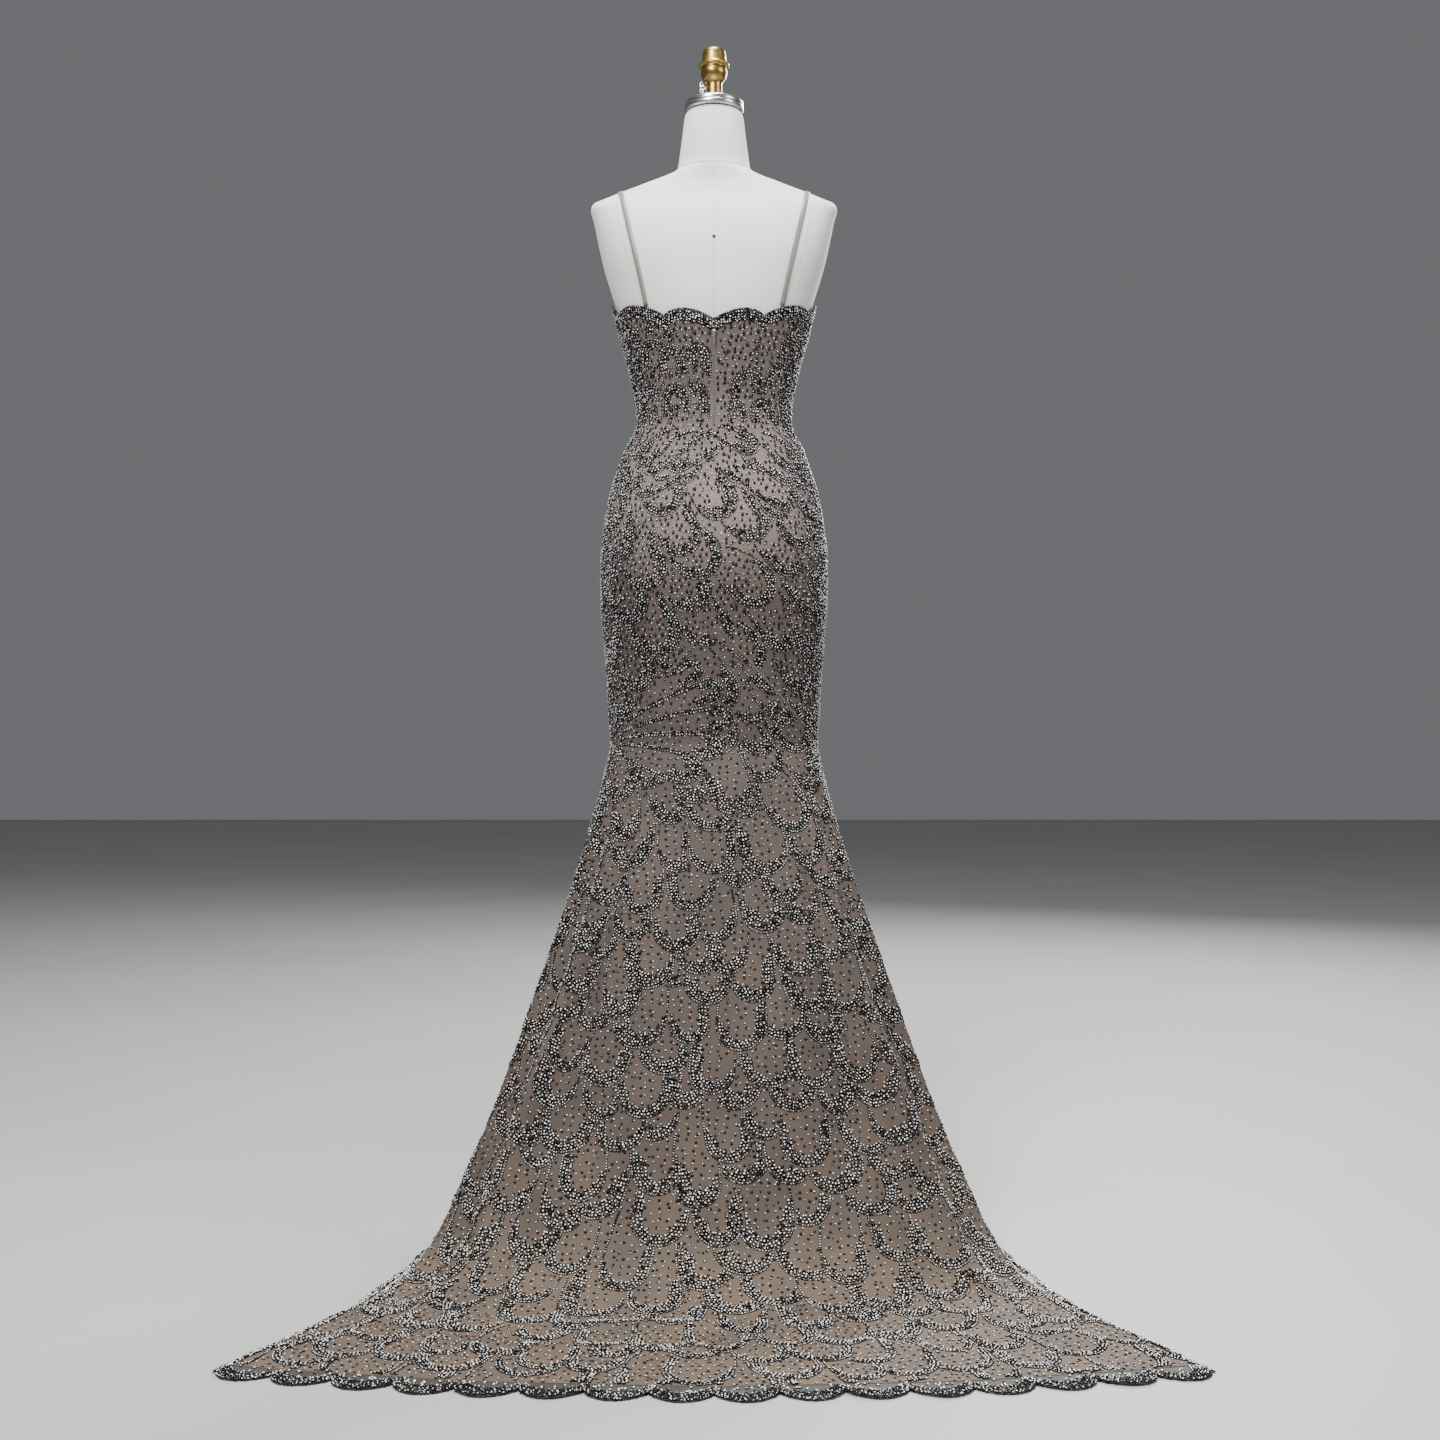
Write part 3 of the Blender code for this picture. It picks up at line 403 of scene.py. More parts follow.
def top_edge(degrees):
    """Height of the scalloped top edge."""
    half, _ = fold_back(np.asarray(degrees, float))
    valleys = np.array([row[0] for row in TOP_EDGE])
    heights = np.array([row[1] for row in TOP_EDGE])
    i = np.clip(np.searchsorted(valleys, half + 1e-6) - 1, 0, len(valleys) - 2)
    along = np.clip((half - valleys[i]) / (valleys[i + 1] - valleys[i]), 0.0, 1.0)
    chord = heights[i] + (heights[i + 1] - heights[i]) * along
    return chord + TOP_SCALLOP * np.sin(np.pi * along) ** ROUND


def hip_seam(degrees):
    """Height of the seam below the hips: a V behind, level in front."""
    degrees = np.asarray(degrees, float)
    sideways = np.abs(body(degrees, V_LEVEL, GOWN)[..., 0])
    behind = np.maximum(V_APEX - V_SLOPE * sideways, FRONT_SEAM)
    return np.where(np.cos(np.radians(degrees)) <= 0.0, FRONT_SEAM, behind)


def floor_plan(degrees):
    """Points on the floor where the cloth lands, and the hem's low points."""
    half, side = fold_back(degrees)
    landing = np.stack((side * column(FLOOR_PLAN, 1, half), column(FLOOR_PLAN, 2, half),
                        np.zeros_like(half)), axis=-1)
    hem = [np.where(half < 90.0, straight(FLOOR_PLAN, k, half), column(FLOOR_PLAN, k, half))
           for k in (3, 4)]
    return landing, np.stack((side * hem[0], hem[1], np.zeros_like(half)), axis=-1)


def fold_depth(degrees, down):
    """How far the soft folds stand out; down is the share of the way to the floor."""
    depth = np.zeros_like(degrees)
    for where, spread, height, start in FOLDS:
        away = np.mod(degrees - where + 180.0, 360.0) - 180.0
        depth += height * np.exp(-(away / spread) ** 2) * ramp((down - start) / (1.0 - start))
    return depth


def slit_shift(station, down, front):
    """Degrees by which the slit has drawn a panel away.

    front is True for the panel before the slit, False for the one behind it, None for others.
    """
    if front is None:
        return np.zeros_like(station)
    edge, wide = (180.0, SLIT_FRONT) if front else (90.0, -SLIT_BACK)
    share = np.maximum(0.0, (edge - station) / (edge - SLIT_ANGLE))
    return wide * share ** SLIT_SPREAD * down ** SLIT_POWER


def skirt_row(stations, share, front):
    """One row of the lower skirt.

    share runs from -1 (level with the V's point) through 0 (the hip seam), 1 (where the cloth
    starts to bend on to the floor) and 2 (where it lies flat) to 3 (the panel's lower edge).
    """
    seam = hip_seam(stations)
    if share < 0.0:
        return body(stations, seam + (V_APEX - seam) * -share, GOWN)
    row = HANG_ROWS * min(share, 1.0) + BEND_ROWS * min(max(share - 1.0, 0.0), 1.0)
    down = min(1.0, row / (HANG_ROWS + 1.0))
    degrees = stations + slit_shift(stations, down, front)
    landing, hem = floor_plan(degrees)
    landing[:, 2] += CLOTH
    hem[:, 2] += CLOTH
    reach = np.linalg.norm(hem - landing, axis=1)
    run = (hem - landing) / reach[:, None]
    train = ramp((reach - TRAIN_FROM) / TRAIN_OVER)
    fillet = FILLET_FRONT + (FILLET_TRAIN - FILLET_FRONT) * train

    knee = body(stations, KNEE, GOWN)
    thigh = [body(stations, seam + (KNEE - seam) * k / THIGH_POINTS, GOWN)
             for k in range(THIGH_POINTS)]
    g = np.linspace(0.0, 1.0, FLARE_POINTS)[None, :, None]
    spread = (1.0 - SPREAD_CURVE) * g + SPREAD_CURVE * g * g
    flare = knee[:, None] + (landing - knee)[:, None] * spread
    flare[:, :, 2] = knee[:, None, 2] + (landing - knee)[:, None, 2] * g[:, :, 0]
    hang = np.concatenate((np.stack(thigh, axis=1), flare), axis=1)
    along = lengths(hang, 1)
    target = (along[:, -1] - fillet) * min(share, 1.0)
    i = np.clip((along <= target[:, None]).sum(axis=1) - 1, 0, along.shape[1] - 2)
    rows = np.arange(len(stations))
    step = np.maximum(along[rows, i + 1] - along[rows, i], 1e-9)
    t = ((target - along[rows, i]) / step)[:, None]
    point = hang[rows, i] * (1.0 - t) + hang[rows, i + 1] * t
    end = landing + run * fillet[:, None]
    outward = landing / np.linalg.norm(landing[:, :2], axis=1)[:, None]
    outward[:, 2] = 0.0
    if share <= 1.0:
        fade = 1.0 - train * ramp((share - FOLD_FADE) / (1.0 - FOLD_FADE))
        return point + outward * (fold_depth(degrees, share) * fade)[:, None]
    if share <= 2.0:
        t = share - 1.0
        bent = (1 - t) ** 2 * point + 2 * t * (1 - t) * landing + t ** 2 * end
        return bent + outward * (fold_depth(degrees, 1.0) * (1.0 - train) * (1.0 - t))[:, None]
    edge = hem - run * BORDER
    return end + (edge - end) * (share - 2.0)


def segment_bump(across, down, ends, half_width):
    """How much of a crease is felt at each place, 1 on its line and fading towards its ends."""
    (xa, ya), (xb, yb) = ends
    length2 = (xb - xa) ** 2 + (yb - ya) ** 2
    t = np.clip(((across - xa) * (xb - xa) + (down - ya) * (yb - ya)) / length2, 0.0, 1.0)
    away = np.hypot(across - xa - t * (xb - xa), down - ya - t * (yb - ya))
    return np.exp(-(away / half_width) ** 2) * np.sin(np.pi * np.clip(t, 0.02, 0.98)) ** 0.6


def creases(table, degree, stations, down):
    """How far a table's creases lift the cloth; degree is what a station's degree counts for."""
    total = np.zeros(np.broadcast(stations, down).shape)
    for station_a, down_a, station_b, down_b, half_width, depth in table:
        ends = ((station_a * degree, down_a), (station_b * degree, down_b))
        total += depth * segment_bump(stations * degree, down, ends, half_width)
    return total


# ---------------------------------------------------------------- charts
class Chart:
    """A stretch of cloth kept as a grid of points and read anywhere between them.

    One axis is the station in degrees, the other the distance down the cloth in metres. The
    grid starts at first; left and right are the edges of the panel that it holds.
    """

    def __init__(self, first, step, points, left, right):
        self.first = first
        self.step = step
        self.points = points
        self.left = left
        self.right = right
        self.normals = unit(np.cross(np.gradient(points, axis=0), np.gradient(points, axis=1)))
        self.across = lengths(points)

    def read(self, grid, station, down):
        """Values of a grid between its points."""
        a = np.clip((station - self.first) / self.step, 0.0, grid.shape[0] - 1.001)
        b = np.clip(down / CHART_PITCH, 0.0, grid.shape[1] - 1.001)
        i, j = a.astype(int), b.astype(int)
        a, b = a - i, b - j
        if grid.ndim == 3:
            a, b = a[..., None], b[..., None]
        return ((grid[i, j] * (1 - a) + grid[i + 1, j] * a) * (1 - b)
                + (grid[i, j + 1] * (1 - a) + grid[i + 1, j + 1] * a) * b)

    def point(self, station, down):
        """Places on the cloth."""
        return self.read(self.points, station, down)

    def normal(self, station, down):
        """Outward directions of the cloth."""
        return unit(self.read(self.normals, station, down))

    def along(self, station, down):
        """Metres across the cloth from the chart's first station."""
        return self.read(self.across, station, down)

    def station_at(self, metres, down):
        """The station that lies so many metres across from the first one."""
        b = np.clip(down / CHART_PITCH, 0.0, self.across.shape[1] - 1.001)
        j = b.astype(int)
        lines = self.across[:, j] * (1.0 - b + j) + self.across[:, j + 1] * (b - j)
        i = np.clip((lines < metres).sum(axis=0) - 1, 0, len(lines) - 2)
        k = np.arange(len(metres))
        low, high = lines[i, k], lines[i + 1, k]
        return self.first + self.step * (i + (metres - low) / np.maximum(high - low, 1e-7))


def upper_grid(stations, heights):
    """Outer points of bodice and hips, with their creases."""
    grid = body(stations, heights, GOWN)
    lift = creases(HIP_CREASES, HIP_DEGREE, np.mod(stations, 360.0), heights)
    return grid + grid_normals(grid) * lift[..., None]


def upper_chart():
    """The chart of bodice and hips, all round; distances down start at CHART_TOP."""
    stations = np.arange(-CHART_WRAP, 360.0 + CHART_WRAP + CHART_STEP / 2, CHART_STEP)
    rows = int((CHART_TOP - CHART_BOTTOM) / CHART_PITCH)
    grid = upper_grid(*np.meshgrid(stations, CHART_TOP - CHART_PITCH * np.arange(rows)))
    return Chart(-CHART_WRAP, CHART_STEP, grid.transpose(1, 0, 2), 0.0, 360.0)


# The rows of the lower panels, as skirt_row counts them.
SHARES = np.append(np.concatenate([np.linspace(k - 1.0, k, rows, endpoint=False)
                                   for k, rows in enumerate(PANEL_ROWS)]), 3.0)


def skirt_grid(stations, front, shares):
    """Outer points of a lower panel, with its creases, and the distance down to each of them."""
    grid = np.stack([skirt_row(stations, share, front) for share in shares])
    down = lengths(grid)
    begin = np.array([np.interp(0.0, shares, down[:, c]) for c in range(len(stations))])
    length = down[-1] - begin
    way = np.clip((down - begin) / length, 0.0, 1.0)
    lift = creases(SKIRT_CREASES, SKIRT_DEGREE, np.broadcast_to(stations, way.shape), way)
    lift = lift * ramp(way * length / CREASE_FADE)
    grid = grid + grid_normals(grid) * lift[..., None]
    grid[..., 2] = np.maximum(grid[..., 2], CLOTH)
    return grid, down, begin


def lower_chart(first, last, front):
    """A chart of one lower panel, a little wider than the panel itself.

    Distances down start level with the V's point. For each of its stations the chart keeps how
    far down the seam lies (begin), the place where the cloth lies flat (flat), and the hem
    (reach).
    """
    start = first - CHART_MARGIN
    stations = np.arange(start, last + CHART_MARGIN + SKIRT_COLUMN / 2, SKIRT_COLUMN)
    grid, down, begin = skirt_grid(stations, front, SHARES)
    levels = CHART_PITCH * np.arange(int(down[-1].max() / CHART_PITCH) + 3)
    points = np.zeros((len(stations), len(levels), 3))
    for c in range(len(stations)):
        for k in range(3):
            points[c, :, k] = np.interp(levels, down[:, c], grid[:, c, k])
        beyond = levels > down[-1, c]
        run = unit(grid[-1, c] - grid[-3, c])
        points[c, beyond] = grid[-1, c] + run * (levels[beyond] - down[-1, c])[:, None]
    chart = Chart(start, SKIRT_COLUMN, points, first, last)
    chart.stations = stations
    chart.begin = begin
    chart.flat = np.array([np.interp(2.0, SHARES, down[:, c]) for c in range(len(stations))])
    chart.reach = down[-1]
    return chart


# ---------------------------------------------------------------- meshes
def new_object(name, vertices, faces, material, smooth=True, uv=None):
    """A mesh object from arrays; faces is an array of triangles or quads."""
    mesh = bpy.data.meshes.new(name)
    vertices = np.asarray(vertices, np.float32)
    faces = np.asarray(faces, np.int32)
    corners = faces.shape[1]
    mesh.vertices.add(len(vertices))
    mesh.vertices.foreach_set("co", vertices.ravel())
    mesh.loops.add(faces.size)
    mesh.loops.foreach_set("vertex_index", faces.ravel())
    mesh.polygons.add(len(faces))
    mesh.polygons.foreach_set("loop_start", np.arange(0, faces.size, corners, dtype=np.int32))
    if uv is not None:
        layer = mesh.uv_layers.new(name="cloth")
        layer.data.foreach_set("uv", np.asarray(uv, np.float32)[faces.ravel()].ravel())
    mesh.materials.append(material)
    mesh.polygons.foreach_set("use_smooth", np.full(len(faces), smooth))
    mesh.update(calc_edges=True)
    piece = bpy.data.objects.new(name, mesh)
    bpy.context.scene.collection.objects.link(piece)
    return piece


def ride(piece, node=None):
    """Makes a piece ride on the gown's body, in place of a node."""
    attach(piece, BODY_NAME)
    if node is not None:
        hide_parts(node)


def cloth(node, grid, material, thick, slot):
    """A thin closed shell in a node's place; its outer face is the grid, the inner thick below."""
    rows, columns = grid.shape[:2]
    across = lengths(grid, 1)
    across -= across[:, columns // 2:columns // 2 + 1]
    uv = np.stack((across, lengths(grid)), axis=-1).reshape(-1, 2)
    inner = grid - grid_normals(grid) * thick
    count = rows * columns
    index = np.arange(count).reshape(rows, columns)
    outside = np.stack((index[:-1, :-1], index[:-1, 1:], index[1:, 1:], index[1:, :-1]),
                       axis=-1).reshape(-1, 4)
    border = np.concatenate((index[0], index[1:, -1], index[-1, -2::-1], index[-2:0:-1, 0]))
    ahead = np.roll(border, -1)
    rim = np.stack((ahead, border, border + count, ahead + count), axis=1)
    piece = new_object(node + "_" + slot.split("_")[-1],
                       np.concatenate((grid.reshape(-1, 3), inner.reshape(-1, 3))),
                       np.concatenate((outside, outside[:, ::-1] + count, rim)), material,
                       uv=np.concatenate((uv, uv)))
    piece.data.set_sharp_from_angle(angle=math.radians(55.0))
    ride(piece, node)


def halves(*corners):
    """Triangles of the quads whose corners are given as four arrays."""
    quads = np.stack(corners, axis=-1).reshape(-1, 4)
    return np.concatenate((quads[:, [0, 1, 2]], quads[:, [0, 2, 3]]))


def ringed(name, rings, material, ends=None):
    """A mesh over rings of points: closed with a point at both ends, or into a loop without."""
    count, sides = rings.shape[:2]
    index = np.arange(count * sides).reshape(count, sides)
    vertices = rings.reshape(-1, 3)
    if ends is None:
        index = np.concatenate((index, index[:1]))
    beside = np.roll(index, -1, axis=1)
    faces = halves(index[:-1], beside[:-1], beside[1:], index[1:])
    if ends is not None:
        low = np.full(sides, len(vertices))
        vertices = np.concatenate((vertices, ends))
        faces = np.concatenate((faces, np.stack((low, beside[0], index[0]), axis=1),
                                np.stack((low + 1, index[-1], beside[-1]), axis=1)))
    return new_object(name, vertices, faces, material)


def tube(name, path, radius, material, sides=6, closed=False, squash=1.0, normals=None):
    """A round or flattened tube along a path of points; normals are the directions in which
    it is flattened."""
    tangents = np.gradient(path, axis=0)
    if closed:
        tangents = np.roll(path, -1, axis=0) - np.roll(path, 1, axis=0)
    tangents = unit(tangents)
    if normals is None:
        normals = np.cross(tangents, (0.0, 0.0, 1.0))
        normals[np.linalg.norm(normals, axis=1) < 1e-6] = (1.0, 0.0, 0.0)
    normals = unit(normals - tangents * (normals * tangents).sum(axis=1, keepdims=True))
    sideways = np.cross(tangents, normals)
    turn = 2.0 * np.pi * np.arange(sides) / sides
    ring = (normals[:, None] * (np.cos(turn) * radius * squash)[None, :, None]
            + sideways[:, None] * (np.sin(turn) * radius)[None, :, None])
    return ringed(name, path[:, None] + ring, material,
                  None if closed else np.array([path[0], path[-1]]))


def lathe(name, profile, material, sides):
    """A turned piece from (radius, z) pairs, closed with a point on the axis at both ends."""
    turn = 2.0 * np.pi * np.arange(sides) / sides
    rings = np.stack((profile[:, :1] * np.cos(turn), profile[:, :1] * np.sin(turn),
                      np.repeat(profile[:, 1:], sides, axis=1)), axis=-1)
    piece = ringed(name, rings, material,
                   np.array([(0.0, 0.0, profile[0, 1]), (0.0, 0.0, profile[-1, 1])]))
    piece.data.set_sharp_from_angle(angle=math.radians(35.0))
    return piece


def lay_over(piece, axes, place):
    """Turns a turned piece on to its side, its axes in the given order, and moves it to place."""
    points = np.array([v.co for v in piece.data.vertices])[:, axes] * (1.0, 1.0, -1.0) + place
    piece.data.vertices.foreach_set("co", points.astype(np.float32).ravel())
    piece.data.update()


def strip(name, path, across, outward, section, material):
    """A band along a path; section is its outline as distances across and outwards."""
    sideways, rise = section
    rings = (path[:, None] + across[:, None] * sideways[None, :, None]
             + outward[:, None] * rise[None, :, None])
    count, sides = rings.shape[:2]
    index = np.arange(count * sides).reshape(count, sides)
    beside = np.roll(index, -1, axis=1)
    fan = [(index[0, 0], index[0, k], index[0, k + 1]) for k in range(1, sides - 1)]
    fan += [(index[-1, 0], index[-1, k + 1], index[-1, k]) for k in range(1, sides - 1)]
    faces = halves(index[:-1], index[1:], beside[1:], beside[:-1])
    return new_object(name, rings.reshape(-1, 3), np.concatenate((faces, fan)), material)


def soften(profile, radius, steps=4):
    """Rounds the corners of a turned profile."""
    profile = np.asarray(profile, float)
    out = [profile[0]]
    for before, corner, after in zip(profile, profile[1:], profile[2:]):
        start, end = (corner + unit(other - corner)
                      * min(radius, np.linalg.norm(other - corner) * CORNER_SHARE)
                      for other in (before, after))
        for t in np.linspace(0.0, 1.0, steps):
            out.append((1 - t) ** 2 * start + 2 * t * (1 - t) * corner + t ** 2 * end)
    out.append(profile[-1])
    return np.array(out)


# ---------------------------------------------------------------- materials
class Finish:
    """A material while it is built: its Principled shader and the nodes that feed it."""

    def __init__(self, name, roughness, metallic=0.0):
        self.material = bpy.data.materials.new(name)
        self.material.use_nodes = True
        self.tree = self.material.node_tree
        self.shader = self.tree.nodes["Principled BSDF"]
        self.set("Roughness", roughness)
        self.set("Metallic", metallic)

    def feed(self, socket, value):
        """Gives a socket another node's output, a colour or a plain value."""
        if isinstance(value, bpy.types.NodeSocket):
            self.tree.links.new(value, socket)
        elif socket.type == "RGBA":
            socket.default_value = (*value, 1.0)
        else:
            socket.default_value = value

    def set(self, name, value):
        """Feeds one of the shader's own sockets."""
        self.feed(self.shader.inputs[name], value)

    def node(self, kind, inputs, **settings):
        """A new node with its settings, and its inputs fed by name or number."""
        node = self.tree.nodes.new("ShaderNode" + kind)
        for key, value in settings.items():
            setattr(node, key, value)
        for key, value in inputs.items():
            self.feed(node.inputs[key], value)
        return node

    def place(self, kind="Object"):
        """Where a point lies: on the object in metres, or on its cloth (UV)."""
        return self.node("TexCoord", {}).outputs[kind]

    def noise(self, scale, detail, kind="Object", stretch=None):
        """Cloudy pattern, its coordinates stretched first."""
        vector = self.place(kind)
        if stretch is not None:
            vector = self.node("Mapping", {"Scale": stretch, "Vector": vector}).outputs["Vector"]
        return self.node("TexNoise", {"Scale": scale, "Detail": detail,
                                      "Vector": vector}).outputs["Fac"]

    def colours(self, factor, stops):
        """Colours along a factor, as (place, colour) pairs."""
        node = self.node("ValToRGB", {"Fac": factor})
        elements = node.color_ramp.elements
        while len(elements) < len(stops):
            elements.new(0.5)
        for element, (place, colour) in zip(elements, stops):
            element.position = place
            element.color = (*colour, 1.0)
        return node.outputs["Color"]

    def mix(self, factor, a, b, blend="MIX"):
        """Two colours mixed."""
        inputs = {"Factor": factor, 6: a, 7: b}
        return self.node("Mix", inputs, data_type="RGBA", blend_type=blend).outputs[2]

    def arithmetic(self, operation, *values):
        """One step of arithmetic."""
        return self.node("Math", dict(enumerate(values)), operation=operation).outputs[0]

    def bump(self, height, strength, distance):
        """Fine relief of the whole surface."""
        self.set("Normal", self.node("Bump", {"Strength": strength, "Distance": distance,
                                              "Height": height}).outputs["Normal"])

    def net(self, scale):
        """Hexagonal net threads: 1 on a thread, 0 in a hole."""
        cells = self.node("TexVoronoi", {"Scale": scale, "Randomness": 0.35,
                                         "Vector": self.place("UV")}, feature="DISTANCE_TO_EDGE")
        return self.colours(cells.outputs["Distance"],
                            ((0.10, (1.0, 1.0, 1.0)), (0.22, (0.0, 0.0, 0.0))))


def net_material():
    """Taupe net over its lining: mauve at the hips, greyer below, warmer on the floor, with painted
    light and shade by height.
    """
    full_height = 1.4
    finish = Finish("beaded_net_cloth", 0.62)
    height = finish.node("SeparateXYZ", {"Vector": finish.place()}).outputs["Z"]
    # Colour by height is partly the net's own tones and partly painted light and shade. It is lighter
    # on the hips and on the cloth lying on the floor, and darker below the seat and down the mid and
    # lower skirt.
    colour_and_painted_light_by_height = finish.colours(finish.arithmetic("DIVIDE", height, full_height), (
        (0.00, (0.142, 0.108, 0.082)), (0.05, (0.108, 0.083, 0.064)),
        (0.16, (0.078, 0.060, 0.049)), (0.45, (0.084, 0.067, 0.058)),
        (0.54, (0.122, 0.099, 0.091)), (0.62, (0.104, 0.084, 0.077)),
        (0.665, (0.090, 0.071, 0.065)), (0.76, (0.222, 0.182, 0.174)),
        (0.86, (0.175, 0.141, 0.134)), (1.0, (0.118, 0.093, 0.088))))
    shade = finish.colours(finish.noise(14.0, 4.0, stretch=(1.0, 1.0, 0.35)),
                           ((0.32, (0.74, 0.76, 0.81)), (0.68, (1.14, 1.09, 1.02))))
    base = finish.mix(1.0, colour_and_painted_light_by_height, shade, "MULTIPLY")
    threads = finish.net(720.0)
    cover = finish.arithmetic("MULTIPLY", threads, 0.30)
    finish.set("Base Color", finish.mix(cover, base, (0.045, 0.036, 0.032)))
    finish.set("Sheen Weight", 0.04)
    finish.set("Specular IOR Level", 0.15)
    finish.bump(threads, 0.35, 0.0004)
    return finish.material


def sheer_material():
    """The net alone at the hem: grey, with the floor showing through its holes."""
    finish = Finish("sheer_net_cloth", 0.6)
    threads = finish.net(560.0)
    finish.set("Base Color", finish.colours(
        finish.noise(30.0, 3.0), ((0.3, (0.050, 0.050, 0.046)), (0.7, (0.080, 0.078, 0.073)))))
    finish.set("Alpha", finish.arithmetic("MULTIPLY_ADD", threads, 0.34, 0.60))
    finish.bump(threads, 0.4, 0.0004)
    return finish.material


def satin_material(name, dark, light):
    """Satin, with a fine weave along its length."""
    finish = Finish(name, 0.36)
    finish.set("Base Color", finish.colours(finish.noise(14.0, 3.0), ((0.3, dark), (0.7, light))))
    finish.bump(finish.noise(900.0, 2.0, "UV", (1.0, 0.12, 1.0)), 0.25, 0.0002)
    finish.set("Sheen Weight", 0.25)
    return finish.material


def knit_material(name, dark, light):
    """Stretched jersey or thread, a little uneven in tone."""
    finish = Finish(name, 0.78)
    finish.set("Base Color", finish.colours(finish.noise(5.0, 5.0), ((0.3, dark), (0.7, light))))
    finish.bump(finish.noise(1300.0, 1.0, stretch=(1.0, 1.0, 0.35)), 0.18, 0.0002)
    finish.set("Sheen Weight", 0.2)
    return finish.material


def metal_material(name, dark, light, roughness, scale=60.0):
    """Turned metal: fine rings of tone and roughness."""
    finish = Finish(name, roughness, 1.0)
    rings = finish.noise(scale, 4.0, stretch=(1.0, 1.0, 14.0))
    finish.set("Base Color", finish.colours(rings, ((0.25, dark), (0.75, light))))
    finish.set("Roughness", finish.node("MapRange", {
        "To Min": roughness * 0.7, "To Max": roughness * 1.5, "Value": rings}).outputs["Result"])
    finish.bump(rings, 0.12, 0.0003)
    return finish.material


def paint_material():
    """Black paint with a fine grain."""
    finish = Finish("black_paint", 0.45)
    grain = finish.noise(240.0, 4.0)
    finish.set("Base Color", finish.colours(
        grain, ((0.3, (0.018, 0.018, 0.019)), (0.75, (0.045, 0.045, 0.046)))))
    finish.bump(grain, 0.3, 0.0004)
    return finish.material


def bead_material(name, stops, roughness, metallic):
    """Beads; each one reads its own tone from the mesh, which the crystal and silver ramps turn into
    painted shade at its foot and a painted highlight on its top.
    """
    finish = Finish(name, roughness, metallic)
    finish.set("Specular IOR Level", 0.30)
    tone = finish.node("Attribute", {}, attribute_name="tone").outputs["Fac"]
    finish.set("Base Color", finish.colours(tone, stops))
    return finish.material


# ---------------------------------------------------------------- beads
def bead_shape(sides, top):
    """A cut bead sewn on its flat side: a ring below and a point above."""
    turn = 2.0 * np.pi * np.arange(sides) / sides
    ring = np.stack((np.cos(turn), np.sin(turn), np.zeros(sides)), axis=-1)
    faces = [(k, (k + 1) % sides, sides) for k in range(sides)]
    faces += [(0, k + 1, k) for k in range(1, sides - 1)]
    return np.concatenate((ring, ((0.0, 0.0, top),))), np.array(faces)


CRYSTAL = bead_shape(5, 0.85)
SMALL = bead_shape(4, 0.85)
DROP = bead_shape(6, 0.60)


def scatter(name, points, normals, radii, shape, material, seed, long=None, tilt=BEAD_TILT,
            dull=DULL_SHARE, glow=1.0):
    """Beads joined into one mesh; long stretches them along the given directions.

    Each bead has painted shade at its foot and a painted highlight on its top; the share called dull
    stays dark.
    Towards the floor, whose light is painted on them, the feet are lighter and fewer beads are dull;
    glow is how much of that painted light they get.
    """
    template, template_faces = shape
    chance = np.random.default_rng(seed)
    count = len(points)
    normals = unit(normals + chance.normal(0.0, tilt, (count, 3)))
    guide = np.broadcast_to((0.0, 0.0, 1.0) if long is None else long, (count, 3))
    side = np.cross(normals, guide)
    weak = np.linalg.norm(side, axis=1) < 0.05
    side[weak] = np.cross(normals[weak], (1.0, 0.0, 0.0))
    side = unit(side)
    up = np.cross(normals, side)
    spin = chance.uniform(0.0, 2.0 * np.pi, count) if long is None else np.zeros(count)
    cos, sin = np.cos(spin)[:, None], np.sin(spin)[:, None]
    a, b = side * cos + up * sin, up * cos - side * sin
    stretch = 1.0 if long is None else DROP_STRETCH
    radii = np.broadcast_to(radii, (count,))[:, None, None]
    vertices = points[:, None] + radii * (a[:, None] * template[None, :, :1]
                                          + b[:, None] * template[None, :, 1:2] * stretch
                                          + normals[:, None] * template[None, :, 2:])
    first = (np.arange(count) * len(template))[:, None, None]
    faces = (template_faces[None] + first).reshape(-1, 3)
    piece = new_object(name, vertices.reshape(-1, 3), faces, material)
    tone = piece.data.attributes.new("tone", "FLOAT", "POINT")
    low = glow * (1.0 - ramp((points[:, 2] - GLOW_FROM) / FLOOR_GLOW))
    top = np.where(chance.random(count) < dull * (1.0 - GLOW_LIFTS * low), DULL_TONE,
                   chance.uniform(LEAST_TONE, 1.0, count))
    # The point on top of each bead takes a painted highlight, and its ring takes painted shade.
    lit = np.where(template[:, 2] > 0.0, 1.0, 0.0)[None, :]
    values = lit * top[:, None] + (1.0 - lit) * FOOT_TONE * low[:, None]
    tone.data.foreach_set("value", values.ravel().astype(np.float32))
    ride(piece)


def resample(points, pitch, chance, jitter=EDGE_JITTER):
    """Places at about equal spacing along a polyline, as fractions of its point count."""
    along = lengths(points)
    count = max(int(along[-1] / pitch), 1)
    at = (np.arange(count) + 0.5 + chance.uniform(-jitter, jitter, count)) * along[-1] / count
    return np.interp(at, along, np.arange(len(points)))


# ---------------------------------------------------------------- petals
def make_petal(station, down, turn, width, length, rank, tip=None, root=0.55, wrap=False, rows=5,
               shift=0.0, limits=(-1.0, 9.0), rope=False):
    """One petal, leaf or arch.

    The petal with the higher rank lies on top. root is its width at the root, in widths. wrap
    says that its chart goes all round. shift moves the thick part of the bead band to one side
    of the tip, in tip lengths. limits are the distances down the cloth between which the petal
    shows. A rope is a first row of larger beads that follows the whole outline.
    """
    return {"station": station, "down": down, "turn": math.radians(turn), "width": width,
            "length": length, "tip": tip if tip is not None else width * TIP_SHARE, "root": root,
            "rank": rank, "wrap": wrap, "rows": rows, "shift": shift, "limits": limits,
            "rope": rope}


